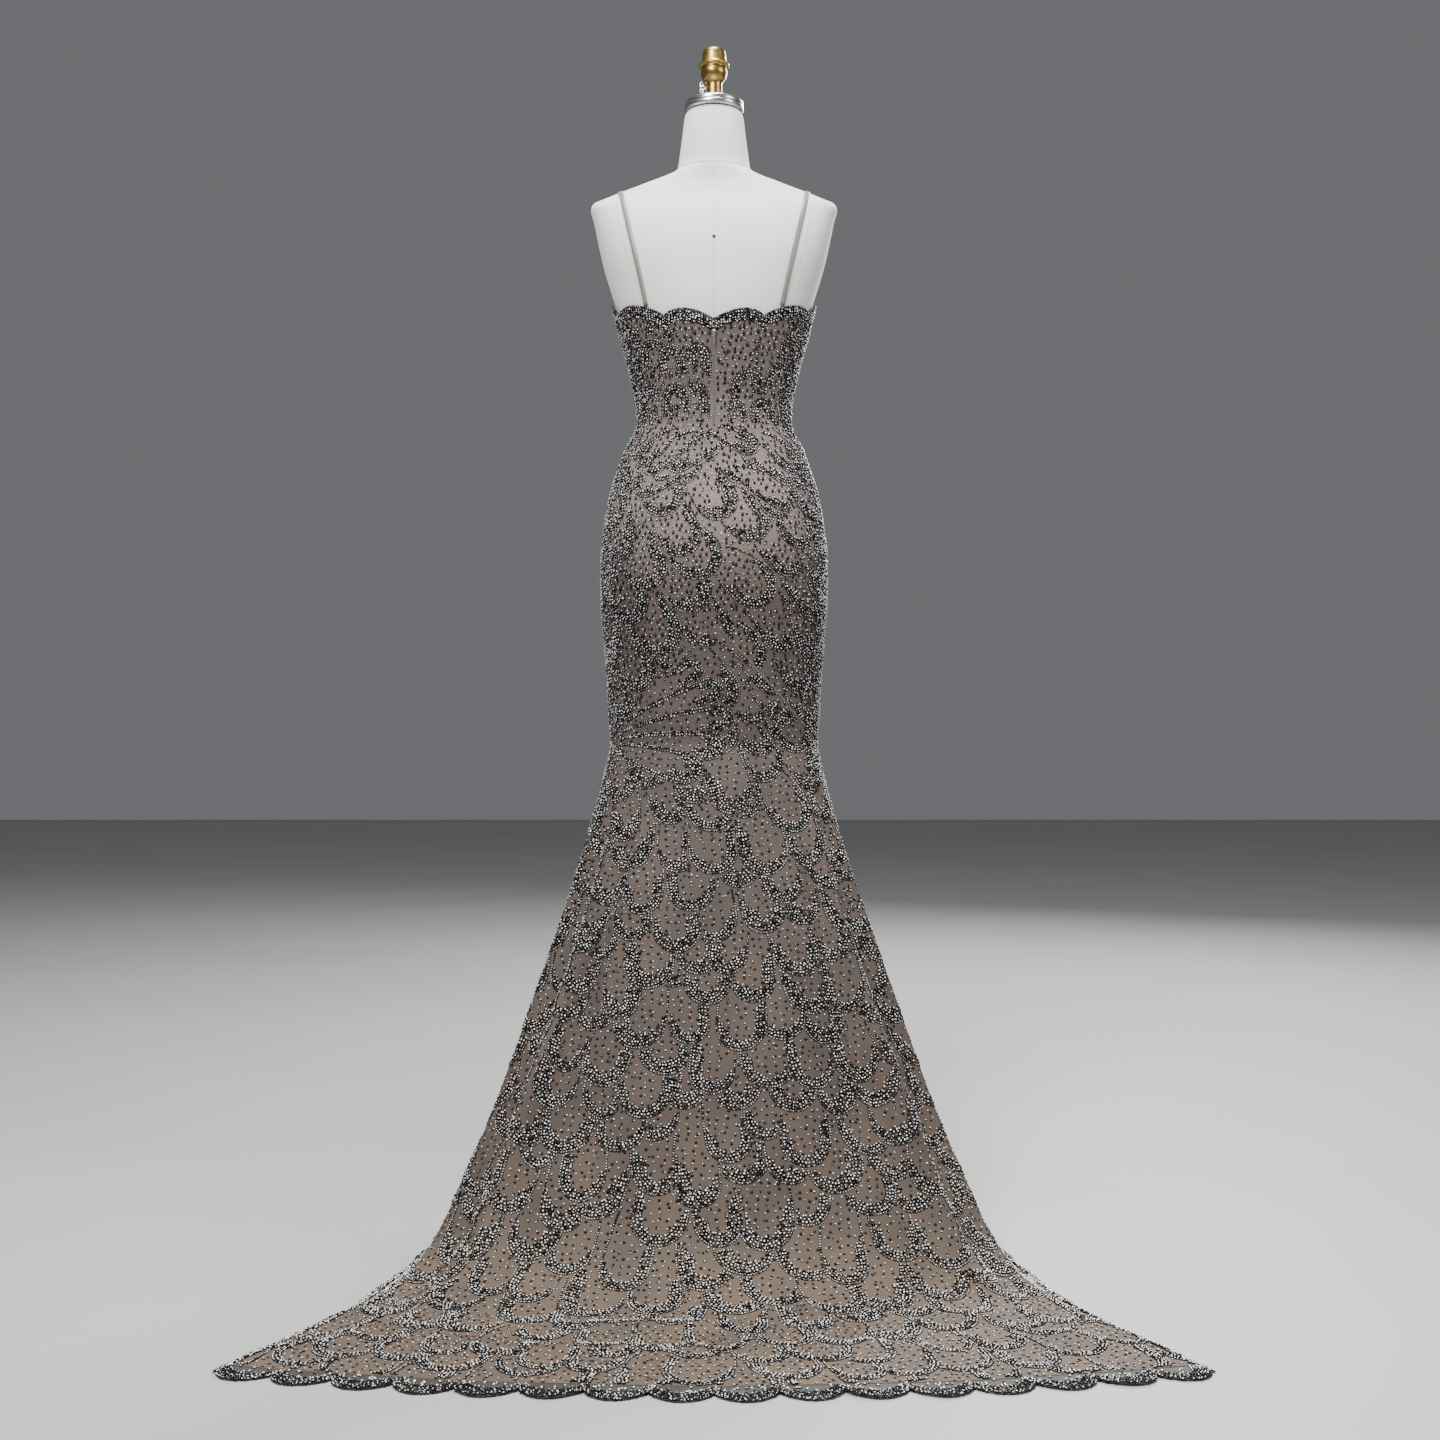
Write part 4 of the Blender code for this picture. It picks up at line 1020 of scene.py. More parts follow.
def petal_half_width(y, width, length, tip, root):
    """Half width of a petal at distance y from its root."""
    shoulder = np.maximum(length - tip, 1e-6)
    side = root + (1.0 - root) * np.sin(np.pi / 2 * np.clip(y / shoulder, 0.0, 1.0)) ** ROUND
    end = np.sqrt(np.clip(1.0 - (np.clip(y - shoulder, 0.0, None) / tip) ** 2, 0.0, 1.0))
    return np.where(y <= shoulder, side, end) * width / 2.0


def petal_outline(petal, inset):
    """Local points of a petal's edge, drawn in by inset, from one root corner to the other."""
    width = petal["width"] - 2.0 * inset
    length = petal["length"] - inset
    tip = max(petal["tip"] - inset, LEAST_TIP)
    shoulder = length - tip
    turn = np.linspace(0.0, np.pi / 2, PETAL_STEPS)
    y = np.concatenate((np.linspace(0.0, shoulder, PETAL_STEPS)[:-1], shoulder + tip * np.sin(turn)))
    x = petal_half_width(y, width, length, tip, petal["root"])
    x[-1] = 0.0
    return np.concatenate((np.stack((-x, y), axis=1), np.stack((x, y), axis=1)[-2::-1]))


def to_chart(petal, chart, local):
    """Stations and distances down of a petal's local points."""
    cos, sin = math.cos(petal["turn"]), math.sin(petal["turn"])
    x = local[:, 0] * cos + local[:, 1] * sin
    down = petal["down"] - local[:, 0] * sin + local[:, 1] * cos
    centre = chart.along(np.full(len(x), petal["station"]), down)
    return chart.station_at(centre + x, down), down


def nearest_turn(petal, station):
    """The station counted the short way round from the petal's own, where the chart goes round."""
    if not petal["wrap"]:
        return station
    return petal["station"] + np.mod(station - petal["station"] + 180.0, 360.0) - 180.0


def to_local(petal, chart, station, down):
    """A petal's local points at the given places of the chart."""
    centre = chart.along(np.full(len(down), petal["station"]), down)
    x = chart.along(nearest_turn(petal, station), down) - centre
    y = down - petal["down"]
    cos, sin = math.cos(petal["turn"]), math.sin(petal["turn"])
    return x * cos - y * sin, x * sin + y * cos


def inside_petal(petal, x, y, grow):
    """Which local points lie in the petal, grown by that much (or shrunk, below 0)."""
    half = petal_half_width(np.clip(y, 0.0, None), petal["width"] + 2.0 * grow,
                            petal["length"] + grow, np.maximum(petal["tip"] + grow, SHRUNK_TIP),
                            petal["root"])
    return (y > 0.0) & (y < petal["length"] + grow) & (np.abs(x) < half)


def near_petal(petal, chart, station, down):
    """Which places lie in the box round a petal; the rest need no closer look."""
    if "box" not in petal:
        beside, below = to_chart(petal, chart, petal_outline(petal, -BOX_MARGIN))
        petal["box"] = (beside.min() - BOX_DEGREES, beside.max() + BOX_DEGREES,
                        max(below.min(), petal["limits"][0]), min(below.max(), petal["limits"][1]))
    left, right, top, bottom = petal["box"]
    near = nearest_turn(petal, station)
    return ((near > left) & (near < right)
            & (down > top - BOX_MARGIN) & (down < bottom + BOX_MARGIN))


def row_places(outline, pitch, chance):
    """Places at about equal spacing along an outline, and each one's distance from its middle."""
    at = resample(outline, pitch, chance, ROW_JITTER)
    along = lengths(outline)
    order = np.arange(len(outline))
    local = np.stack([np.interp(at, order, outline[:, k]) for k in range(2)], axis=1)
    return local, np.interp(at, order, along) - along[-1] / 2


def uncovered(chart, petals, station, down, rank):
    """The places that no petal above theirs covers."""
    keep = np.ones(len(station), bool)
    for petal in petals:
        near = near_petal(petal, chart, station, down)
        close = np.flatnonzero(keep & (rank < petal["rank"]) & near)
        if len(close):
            x, y = to_local(petal, chart, station[close], down[close])
            keep[close[inside_petal(petal, x, y, PETAL_COVER)]] = False
    return station[keep], down[keep]


def petal_beads(chart, petals, seed):
    """The seed beads of all petals' outlines and the larger beads that fill their tips."""
    chance = np.random.default_rng(seed)
    seeds, fill = [], []

    def shown(petal, local):
        station, down = to_chart(petal, chart, local)
        keep = (down > petal["limits"][0]) & (down < petal["limits"][1])
        return station[keep], down[keep], np.full(keep.sum(), petal["rank"])

    for petal in petals:
        local, _ = row_places(petal_outline(petal, OUTLINE_INSET), SEED_PITCH, chance)
        seeds.append(shown(petal, local + chance.normal(0.0, SEED_STRAY, local.shape)))
        for row in range(1, petal["rows"]):
            inset = OUTLINE_INSET + ROW_PITCH * row
            if petal["width"] - 2.0 * inset < NARROWEST:
                continue
            local, away = row_places(petal_outline(petal, inset), BEAD_PITCH, chance)
            near = np.abs(away - petal["shift"] * petal["tip"]) < ROW_REACH[row] * petal["tip"]
            near |= petal["rope"] and row == 1
            stray = chance.normal(0.0, FILL_STRAY * (row + 1), (near.sum(), 2))
            fill.append(shown(petal, local[near] + stray))
    return [uncovered(chart, petals, *joined(group)) for group in (seeds, fill)]


def spread_dots(chart, levels, pitch, phase, seed):
    """Evenly spaced places over a chart's panel, in staggered rows with a little jitter."""
    chance = np.random.default_rng(seed)
    places = []
    for k, level in enumerate(np.arange(*levels, pitch * DOT_ROWS)):
        start, end = chart.along(np.array((chart.left, chart.right)), np.array((level, level)))
        count = int((end - start) / pitch)
        at = start + (np.arange(count) + phase + 0.5 * (k % 2)) * pitch
        at = at + chance.normal(0.0, pitch * DOT_JITTER, count)
        places.append((chart.station_at(at, np.full(count, level)),
                       level + chance.normal(0.0, pitch * DOT_JITTER, count)))
    return joined(places)


def clear_of_bands(chart, petals, station, down):
    """Which places lie in the open middle of the petal that is on top there."""
    keep = np.ones(len(station), bool)
    for petal in sorted(petals, key=lambda petal: petal["rank"]):
        close = np.flatnonzero(near_petal(petal, chart, station, down))
        if len(close):
            x, y = to_local(petal, chart, station[close], down[close])
            band = min(ROW_PITCH * petal["rows"], petal["width"] * BAND_SHARE)
            tipward = ramp((y - petal["length"] + 2.0 * petal["tip"]) / (BAND_TIP * petal["tip"]))
            inside = inside_petal(petal, x, y, DOT_CLEAR)
            middle = inside_petal(petal, x, y, -SIDE_MARGIN - (band - SIDE_MARGIN) * tipward)
            keep[close[inside]] = middle[inside]
    return keep


# ---------------------------------------------------------------- the bead pattern
ARCHES = (
    # station, z of the feet, width, height, lean, rank: arches that stand up from the waist
    (338.0, 1.186, 0.058, 0.076, 3.0, 3.0),
    (344.0, 1.176, 0.030, 0.040, -6.0, 3.6),
    (312.0, 1.190, 0.056, 0.088, 6.0, 3.1),
    (322.0, 1.174, 0.044, 0.046, -8.0, 3.8),
    (300.0, 1.262, 0.050, 0.066, -4.0, 2.2),
    (11.0, 1.184, 0.044, 0.058, -4.0, 3.2),
    (29.0, 1.180, 0.048, 0.062, 6.0, 3.5),
    (48.0, 1.184, 0.050, 0.060, -5.0, 3.3),
    (10.0, 1.236, 0.040, 0.062, 5.0, 2.6),
    (25.0, 1.232, 0.046, 0.066, -6.0, 2.7),
    (43.0, 1.238, 0.050, 0.070, 5.0, 2.5),
    (58.0, 1.262, 0.044, 0.060, -4.0, 2.1),
    (34.0, 1.282, 0.046, 0.056, 3.0, 2.0),
)

LEAVES = (
    # station, z of the root, turn, width, length, rank: long leaves that sweep out from the waist
    (350.0, 1.170, 62.0, 0.040, 0.118, 9.4),
    (358.0, 1.140, 74.0, 0.042, 0.112, 9.0),
    (10.0, 1.166, 56.0, 0.044, 0.096, 9.6),
    (344.0, 1.150, -58.0, 0.048, 0.096, 8.8),
    (352.0, 1.112, -64.0, 0.052, 0.112, 8.6),
    (330.0, 1.166, -48.0, 0.046, 0.078, 9.2),
    (24.0, 1.172, 48.0, 0.040, 0.074, 9.8),
    (8.0, 1.122, 68.0, 0.046, 0.104, 8.7),
    (338.0, 1.128, -70.0, 0.046, 0.086, 8.4),
    (2.0, 1.174, -66.0, 0.036, 0.080, 9.7),
)
HIP_LEAN = (
    # station, lean of the hip leaves in degrees: to the wearer's right behind, outwards in front
    (0.0, -46.0), (55.0, -30.0), (100.0, 12.0), (180.0, 0.0), (250.0, -10.0), (300.0, -34.0),
    (360.0, -46.0),
)
SIDE_ARCHES = (
    # z of the feet, height, first station past the listed arches
    (1.272, 0.064, 0.0),
    (1.226, 0.062, 9.0),
    (1.184, 0.056, 0.0),
)
ARCHES_SPAN = 62.0        # how far the listed arches fill the back, in degrees from its centre
ARCH_PITCH = 19.0         # degrees between the arches beyond that
HIP_LEVELS = np.arange(WAIST, 0.735, -0.050)   # heights of the hip leaves' roots
HIP_COUNT = 12            # hip leaves in each row
BODICE = (0.0, CHART_TOP - WAIST - 0.002)      # distances down in which each kind shows
HIPS = (CHART_TOP - WAIST + 0.002, 9.0)


def upper_petals(chance):
    """Arches on the bodice and leaves that sweep outwards over the hips."""
    petals = []

    def add(limits, station, down, turn, width, length, rank, **options):
        petals.append(make_petal(station, down, turn, width, length, rank, wrap=True,
                                 limits=limits, **options))

    for station, z, width, height, lean, rank in ARCHES:
        add(BODICE, station, CHART_TOP - z, 180.0 + lean, width, height, rank, root=0.86, rows=4,
            shift=chance.uniform(-0.3, 0.3))
        if station < ARCHES_SPAN:
            add(BODICE, station, CHART_TOP - z + 0.004, 180.0 + lean, width * 0.40, height * 0.55,
                rank + 0.05, root=0.86, rows=2)
    for station, z, turn, width, length, rank in LEAVES:
        add(HIPS, station, CHART_TOP - z, turn, width, length, rank, root=0.14, rows=4,
            shift=chance.uniform(-0.4, 0.4), rope=True)
    for z, height, first in SIDE_ARCHES:
        for station in np.arange(ARCHES_SPAN + first, 360.0 - ARCHES_SPAN, ARCH_PITCH):
            add(BODICE, station + chance.uniform(-3.0, 3.0), CHART_TOP - z,
                180.0 + chance.uniform(-10.0, 10.0), chance.uniform(0.044, 0.052),
                height * chance.uniform(0.9, 1.1),
                2.0 + (1.30 - z) * 10.0 + chance.uniform(-0.2, 0.2), root=0.82, rows=5,
                shift=chance.uniform(-0.4, 0.4))
    for k, z in enumerate(HIP_LEVELS):
        half_width, depth = (float(column(BODY, c, np.array(z))) for c in (1, 3))
        pitch = math.pi * (half_width + depth) / HIP_COUNT
        for j in range(HIP_COUNT):
            station = (j + 0.5 * (k % 2) + chance.uniform(-0.15, 0.15)) * 360.0 / HIP_COUNT
            lean = float(straight(HIP_LEAN, 1, station % 360.0))
            at_side = abs(math.sin(math.radians(station))) > 0.80
            add(HIPS, station, CHART_TOP - z, lean + chance.uniform(-9.0, 9.0),
                pitch * chance.uniform(0.92, 1.08), chance.uniform(0.098, 0.114),
                5.9 - 0.2 * k + chance.uniform(-0.06, 0.06), root=chance.uniform(0.40, 0.56),
                rows=int(chance.integers(4, 6)) + int(at_side), shift=chance.uniform(-0.5, 0.5))
    return petals


FAN = (
    # station, down, turn, length, width: long leaves that fan out from the V seam's left end
    (61.0, 0.146, -134.0, 0.150, 0.032),
    (62.0, 0.152, -123.0, 0.172, 0.034),
    (62.0, 0.158, -111.0, 0.186, 0.038),
    (62.0, 0.165, -99.0, 0.188, 0.040),
    (61.0, 0.173, -87.0, 0.174, 0.044),
    (60.0, 0.182, -74.0, 0.150, 0.048),
)
PETAL_WIDTH = (0.060, 0.018)   # width of the hanging petals at the top, and its growth below
PETAL_GAP = (0.047, 0.011)     # the same of the distance between their rows
PETAL_SPACE = 0.92             # between their middles, in widths
FIRST_ROW = 0.010              # distance down of the first row
ROOT_RISE = 0.030              # the petals' roots lie this far above their row
LEAN_FADE = 0.36               # share of the way down by which they hang straight


def lower_petals(chart, chance, lean):
    """Hanging petals in staggered rows, wider and longer towards the floor.

    lean turns those near the seam; they hang straight from a third of the way down.
    """
    petals = []
    typical = float(np.median(chart.reach))
    level, k = FIRST_ROW, 0
    while level < chart.reach.max():
        share = min(level / typical, 1.0)
        width, gap = (first + growth * share for first, growth in (PETAL_WIDTH, PETAL_GAP))
        ends = chart.along(np.array((chart.left, chart.right)), np.full(2, level))
        middle, half = ends.mean(), (ends[1] - ends[0]) / 2 + width
        count = int(half / (width * PETAL_SPACE)) + 1
        for j in range(-count, count + 1):
            at = middle + (j + 0.5 * (k % 2) + chance.uniform(-0.16, 0.16)) * width * PETAL_SPACE
            if abs(at - middle) > half:
                continue
            station = float(chart.station_at(np.array([at]), np.array([level]))[0])
            flat = level > float(np.interp(station, chart.stations, chart.flat)) - 0.02
            turn = lean * (1.0 - ramp(share / LEAN_FADE)) + chance.uniform(-11.0, 11.0)
            petals.append(make_petal(
                station, level + chance.uniform(-0.018, 0.018) - ROOT_RISE, turn,
                width * chance.uniform(0.82, 1.16), gap * chance.uniform(1.75, 2.2),
                LOWER_RANK - k + chance.uniform(-0.4, 0.4), root=chance.uniform(0.62, 0.80),
                rows=int(chance.integers(3, 5) if flat else chance.integers(4, 7)),
                shift=chance.uniform(-0.7, 0.7)))
        level += gap
        k += 1
    return petals


def on_upper(_chart, station, down):
    """The places on bodice or hips, clear of the top edge, the zip and the seams."""
    zip_low, zip_half, metres_a_degree = 1.172, 0.0030, 0.0022
    station = np.mod(station, 360.0)
    z = CHART_TOP - down
    away = np.abs(np.mod(station + 180.0, 360.0) - 180.0)
    keep = (away * metres_a_degree > zip_half) | (z < zip_low)
    keep &= (z < top_edge(station) - TOP_CLEAR) & (z > hip_seam(station) + SEAM_CLEAR)
    return station[keep], down[keep]


def on_lower(chart, station, down):
    """The places on a lower panel, clear of its seams and edges."""
    begin = np.interp(station, chart.stations, chart.begin)
    reach = np.interp(station, chart.stations, chart.reach)
    here = chart.along(station, down)
    left, right = (chart.along(np.full(len(down), edge), down) for edge in (chart.left, chart.right))
    keep = (down > begin + SEAM_CLEAR) & (down < reach - SEAM_CLEAR)
    keep &= (here > left + SLIT_CLEAR) & (here < right - SLIT_CLEAR)
    return station[keep], down[keep]


VALLEY_LINES = (
    # station, length: single bead lines that run down from low points of the top edge
    (333.0, 0.105), (27.0, 0.040), (71.0, 0.050), (289.0, 0.060), (110.0, 0.050), (250.0, 0.050),
    (150.0, 0.060), (210.0, 0.060),
)


def top_edge_beads(chart, seed):
    """Dense rows that follow the scalloped top edge, and single lines down from its low points."""
    first_row, row_pitch = 0.0014, 0.0038
    row_stray, line_stray = 0.0005, 0.0003
    line_top = 0.016
    chance = np.random.default_rng(seed)
    fine = np.arange(0.0, 360.0, 0.25)
    order = np.arange(len(fine))
    seeds, fill = [], []
    for row in range(TOP_ROWS):
        level = CHART_TOP - top_edge(fine) + first_row + row_pitch * row
        at = resample(chart.point(fine, level), SEED_PITCH if row == 0 else EDGE_PITCH, chance)
        jitter = 0.0 if row == 0 else chance.normal(0.0, row_stray, len(at))
        group = seeds if row == 0 else fill
        group.append((np.interp(at, order, fine), np.interp(at, order, level) + jitter))
    for where, length in VALLEY_LINES:
        count = int(length / SEED_PITCH)
        level = CHART_TOP - float(top_edge(where)) + line_top + SEED_PITCH * np.arange(count)
        middle = chart.along(np.full(count, where), level)
        stray = chance.normal(0.0, line_stray, count)
        seeds.append((chart.station_at(middle + stray, level), level))
    return joined(seeds), joined(fill)


BEAD_KINDS = (
    # start of the name, shape, radius, material, step of the seed, tilt, dull
    ("outline_beads_", SMALL, SEED_RADIUS, "crystal", 3, 0.12, OUTLINE_DULL),
    ("edge_beads_", CRYSTAL, BEAD_RADIUS, "crystal", 0, BEAD_TILT, DULL_SHARE),
    ("silver_dots_", CRYSTAL, BEAD_RADIUS, "silver", 1, BEAD_TILT, DULL_SHARE),
    ("dark_drops_", DROP, BEAD_RADIUS, "dark", 2, 0.10, DULL_SHARE),
)
# Least and greatest size of the first three kinds, in their radii; each chart gives its drops'.
BEAD_SIZES = ((0.90, 1.12), (0.80, 1.12), (0.52, 0.74))


def bead_cloth(name, chart, petals, materials, seed, look, edge=None):
    """All beads of one chart: outlines and filled tips of its petals, silver dots, dark drops.

    Loose beads fill its sides too, where the cloth turns away; look["side"] gives the most of
    them for each place, where they start and over what they grow, the last two as sines of the
    station. edge holds the top edge's own small and larger beads.
    """
    def between(pitch, phase, step):
        places = look["on"](chart, *spread_dots(chart, look["dots"], pitch, phase, seed + step))
        open_net = clear_of_bands(chart, petals, *places)
        return tuple(values[open_net] for values in places)

    groups = [look["on"](chart, *places) for places in petal_beads(chart, petals, seed + 1)]
    if edge is not None:
        groups = [joined(pair) for pair in zip(groups, edge)]
    chance = np.random.default_rng(seed + 5)
    station, down = spread_dots(chart, look["sides"], SIDE_PITCH, 0.25, seed + 5)
    most, start, over = look["side"]
    share = most * ramp((np.abs(np.sin(np.radians(station))) - start) / over)
    lucky = chance.random(len(station)) < share
    groups[1] = joined((groups[1], look["on"](chart, station[lucky], down[lucky])))
    silver_pitch, drop_pitch = look["pitches"]
    groups += [between(silver_pitch, 0.0, 2), between(drop_pitch, 0.5, 3)]

    chance = np.random.default_rng(look["seed"] + 50)
    sizes = (*BEAD_SIZES, look["drops"])
    for kind, (least, most), (station, down) in zip(BEAD_KINDS, sizes, groups):
        start, shape, radius, material, step, tilt, dull = kind
        normals = chart.normal(station, down)
        points = chart.point(station, down)
        below = None
        if shape is DROP and look["long"]:
            below = unit(chart.point(station, down + CHART_PITCH) - points)
        radii = radius * chance.uniform(least, most, len(points))
        scatter(start + name, points + normals * SEAT, normals, radii, shape, materials[material],
                look["seed"] + step, long=below, tilt=tilt, dull=dull)


UPPER_LOOK = {"on": on_upper, "dots": (0.02, 0.69), "sides": (0.02, 0.69),
              "side": (0.75, 0.66, 0.30), "pitches": (UPPER_DOT_PITCH, UPPER_DOT_PITCH),
              "drops": (0.60, 0.80), "long": True, "seed": 20}


def bead_upper(materials):
    """The beads of bodice and hips."""
    seed = 11
    chart = upper_chart()
    petals = upper_petals(np.random.default_rng(seed))
    bead_cloth("upper", chart, petals, materials, seed, UPPER_LOOK, top_edge_beads(chart, seed + 4))


def bead_lower(name, chart, materials, seed, lean, fan=()):
    """The beads of one lower panel."""
    petals = lower_petals(chart, np.random.default_rng(seed), lean)
    for order, (station, down, turn, length, width) in enumerate(fan):
        petals.append(make_petal(station, down, turn, width, length, FAN_RANK + order, root=0.16,
                                 tip=width * 0.62, rows=5, shift=0.3, rope=True))
    look = {"on": on_lower, "dots": (0.005, chart.reach.max()), "sides": (0.01, 0.48),
            "side": (0.65, 0.80, 0.18), "pitches": (DOT_PITCH, DROP_PITCH),
            "drops": (0.62, 0.84), "long": False, "seed": seed + 10}
    bead_cloth(name, chart, petals, materials, seed, look)


# ---------------------------------------------------------------- cloth pieces
def build_bodice_and_hips(net):
    """The six upper panels, cut from one smooth surface."""
    panels = (
        # name, first station, last station
        ("back_left", 0.0, 90.0),
        ("front", 90.0, 270.0),
        ("back_right", 270.0, 360.0),
    )
    for name, first, last in panels:
        stations = np.arange(first, last + UPPER_COLUMN / 2, UPPER_COLUMN)
        parts = (
            # part, rows, upper edge, lower edge
            ("bodice_", BODICE_ROWS, top_edge(stations), WAIST),
            ("hip_", HIP_ROWS, WAIST, hip_seam(stations)),
        )
        for part, rows, high, low in parts:
            heights = high + (low - high) * np.linspace(0.0, 1.0, rows + 1)[:, None]
            grid = upper_grid(np.broadcast_to(stations, heights.shape), heights)
            cloth(part + name, grid, net, NET_THICK, "beaded_net")


LOWER = (
    # name, first station, last station, front
    ("train", -90.0, 90.0, None),
    ("side_left", 90.0, SLIT_ANGLE, False),
    ("front", SLIT_ANGLE, 270.0, True),
)


def build_lower(net):
    """The three lower panels; returns their charts by name."""
    shares = SHARES[SHARES >= 0.0]
    charts = {}
    for name, first, last, front in LOWER:
        stations = np.arange(first, last + SKIRT_COLUMN / 2, SKIRT_COLUMN)
        grid, _, _ = skirt_grid(stations, front, shares)
        cloth("skirt_" + name, grid, net, NET_THICK, "beaded_net")
        charts[name] = lower_chart(first, last, front)
    return charts


def band_lines(first, last, front):
    """Root and tip points of the sheer band, with the scallops of the frame's own stations."""
    double_from, double_to = 54.0, 90.0    # stations between which a step holds two scallops
    full = np.concatenate((-HALF_STATIONS[:0:-1], HALF_STATIONS, 360.0 - HALF_STATIONS[-2::-1]))
    stations = full[(full >= first - 1e-6) & (full <= last + 1e-6)]
    roots, tips = [], []
    for c in range(len(stations) - 1):
        middle = abs((stations[c] + stations[c + 1]) / 2)
        scallops = 2 if double_from < middle < double_to else 1
        count = BAND_CELLS * scallops
        t = np.arange(count + (c == len(stations) - 2)) / count
        pair = stations[c:c + 2] + slit_shift(stations[c:c + 2], 1.0, front)
        landing, hem = floor_plan(pair)
        run = unit(hem - landing)
        edge = hem - run * BORDER
        root = edge[0] * (1 - t)[:, None] + edge[1] * t[:, None]
        out = run[0] * (1 - t)[:, None] + run[1] * t[:, None]
        height = SCALLOP * np.abs(np.sin(np.pi * t * scallops)) ** ROUND
        roots.append(root)
        tips.append(root + out * (BORDER + height)[:, None])
    return np.concatenate(roots), np.concatenate(tips)


def ripple(points, share):
    """Height of the band's small waves above the floor."""
    x, y = points[..., 0], points[..., 1]
    wave = 0.5 + 0.5 * np.sin(x * 61.0 + 2.1 * np.sin(y * 23.0))
    wave = wave * (0.5 + 0.5 * np.sin(y * 47.0 + x * 17.0))
    return 0.0045 * wave * share * (1.0 - 0.55 * share)


def build_bands(sheer, materials):
    """The sheer scalloped bands along the hem, with their beads."""
    for name, first, last, front in LOWER:
        roots, tips = band_lines(first, last, front)
        share = np.linspace(0.0, 1.0, BAND_ROWS + 1)[:, None, None]
        grid = roots * (1 - share) + tips * share
        grid[..., 2] = BAND_CLOTH + ripple(grid, share[..., 0])
        cloth("hem_band_" + name, grid, sheer, BAND_THICK, "sheer_net")
        band_beads(name, roots, tips, materials)


def band_beads(name, roots, tips, materials):
    """Dense rows along the scalloped hem edge, and scattered dots on the net inside it."""
    first_row, row_pitch, stray = 0.0014, 0.0040, 0.0004
    dots_a_point = 0.8
    chance = np.random.default_rng(len(name))
    width = np.linalg.norm(tips - roots, axis=1)
    out = unit(tips - roots)
    order = np.arange(len(roots))

    def read(line, at):
        return np.stack([np.interp(at, order, line[:, k]) for k in range(3)], axis=1)

    def laid(points, share):
        points[:, 2] = BAND_CLOTH + ripple(points, share) + SEAT
        return points, np.broadcast_to(np.array((0.0, 0.0, 1.0)), points.shape)

    points, shares = [], []
    for row in range(HEM_ROWS):
        inset = first_row + row_pitch * row
        line = tips - out * np.minimum(inset, width * 0.95)[:, None]
        at = resample(line, SEED_PITCH if row == 0 else EDGE_PITCH, chance)
        points.append(read(line, at) + chance.normal(0.0, stray, (len(at), 3)))
        shares.append(1.0 - inset / np.interp(at, order, width))
    points, up = laid(np.concatenate(points), np.concatenate(shares))
    scatter("edge_beads_hem_" + name, points, up, BEAD_RADIUS * chance.uniform(0.70, 1.0, len(points)),
            SMALL, materials["crystal"], 70 + len(name), dull=HEM_DULL, glow=0.0)
    at = chance.uniform(0.0, len(roots) - 1.0, int(len(roots) * dots_a_point))
    share = chance.uniform(0.05, 0.45, len(at))
    points, up = laid(read(roots, at) * (1 - share[:, None]) + read(tips, at) * share[:, None], share)
    scatter("silver_dots_hem_" + name, points, up, BEAD_RADIUS * 0.85, CRYSTAL, materials["silver"],
            80 + len(name))


def build_lining(satin):
    """The satin panel that shows in the slit, with its soft vertical folds."""
    first, last, step, rows = 110.0, 170.0, 1.0, 60
    tucked = 0.012             # how far its top is tucked up behind the hip panel
    near, deep = 0.0023, 0.009     # its distance behind the skirt's surface, at the seam and below
    folds = (
        # station, spread, depth
        (142.0, 3.0, 0.0035),
        (135.0, 4.0, -0.0020),
    )
    stations = np.arange(first, last + 0.01, step)
    shares = np.linspace(0.0, 1.0, rows)
    grid = np.stack([body(stations, hip_seam(stations) + tucked, GOWN)]
                    + [skirt_row(stations, share, None) for share in shares])
    along = np.concatenate(((0.0, 0.0), shares[1:]))[:, None]
    depth = near + (deep - near) * ramp(along * HANG_ROWS / 2.0)
    fold = sum(height * np.exp(-((stations - where) / spread) ** 2) for where, spread, height in folds)
    behind = depth - fold[None, :] * ramp((along - 0.1) / 0.5)
    cloth("slit_lining", grid - grid_normals(grid) * behind[..., None], satin, LINING_THICK, "satin")


# ---------------------------------------------------------------- form, straps and metalwork
FORM_SEAMS = (
    # station low down, drift towards the shoulder, top, points
    (0.0, 0.0, NECK_TOP - 0.003, 120),
    (180.0, 0.0, NECK_TOP - 0.003, 120),
    (90.0, 0.0, NECK_TOP - 0.003, 120),
    (270.0, 0.0, NECK_TOP - 0.003, 120),
    (38.0, 10.0, 1.545, 110),
    (-38.0, -10.0, 1.545, 110),
    (140.0, -12.0, 1.545, 110),
    (220.0, 12.0, 1.545, 110),
)


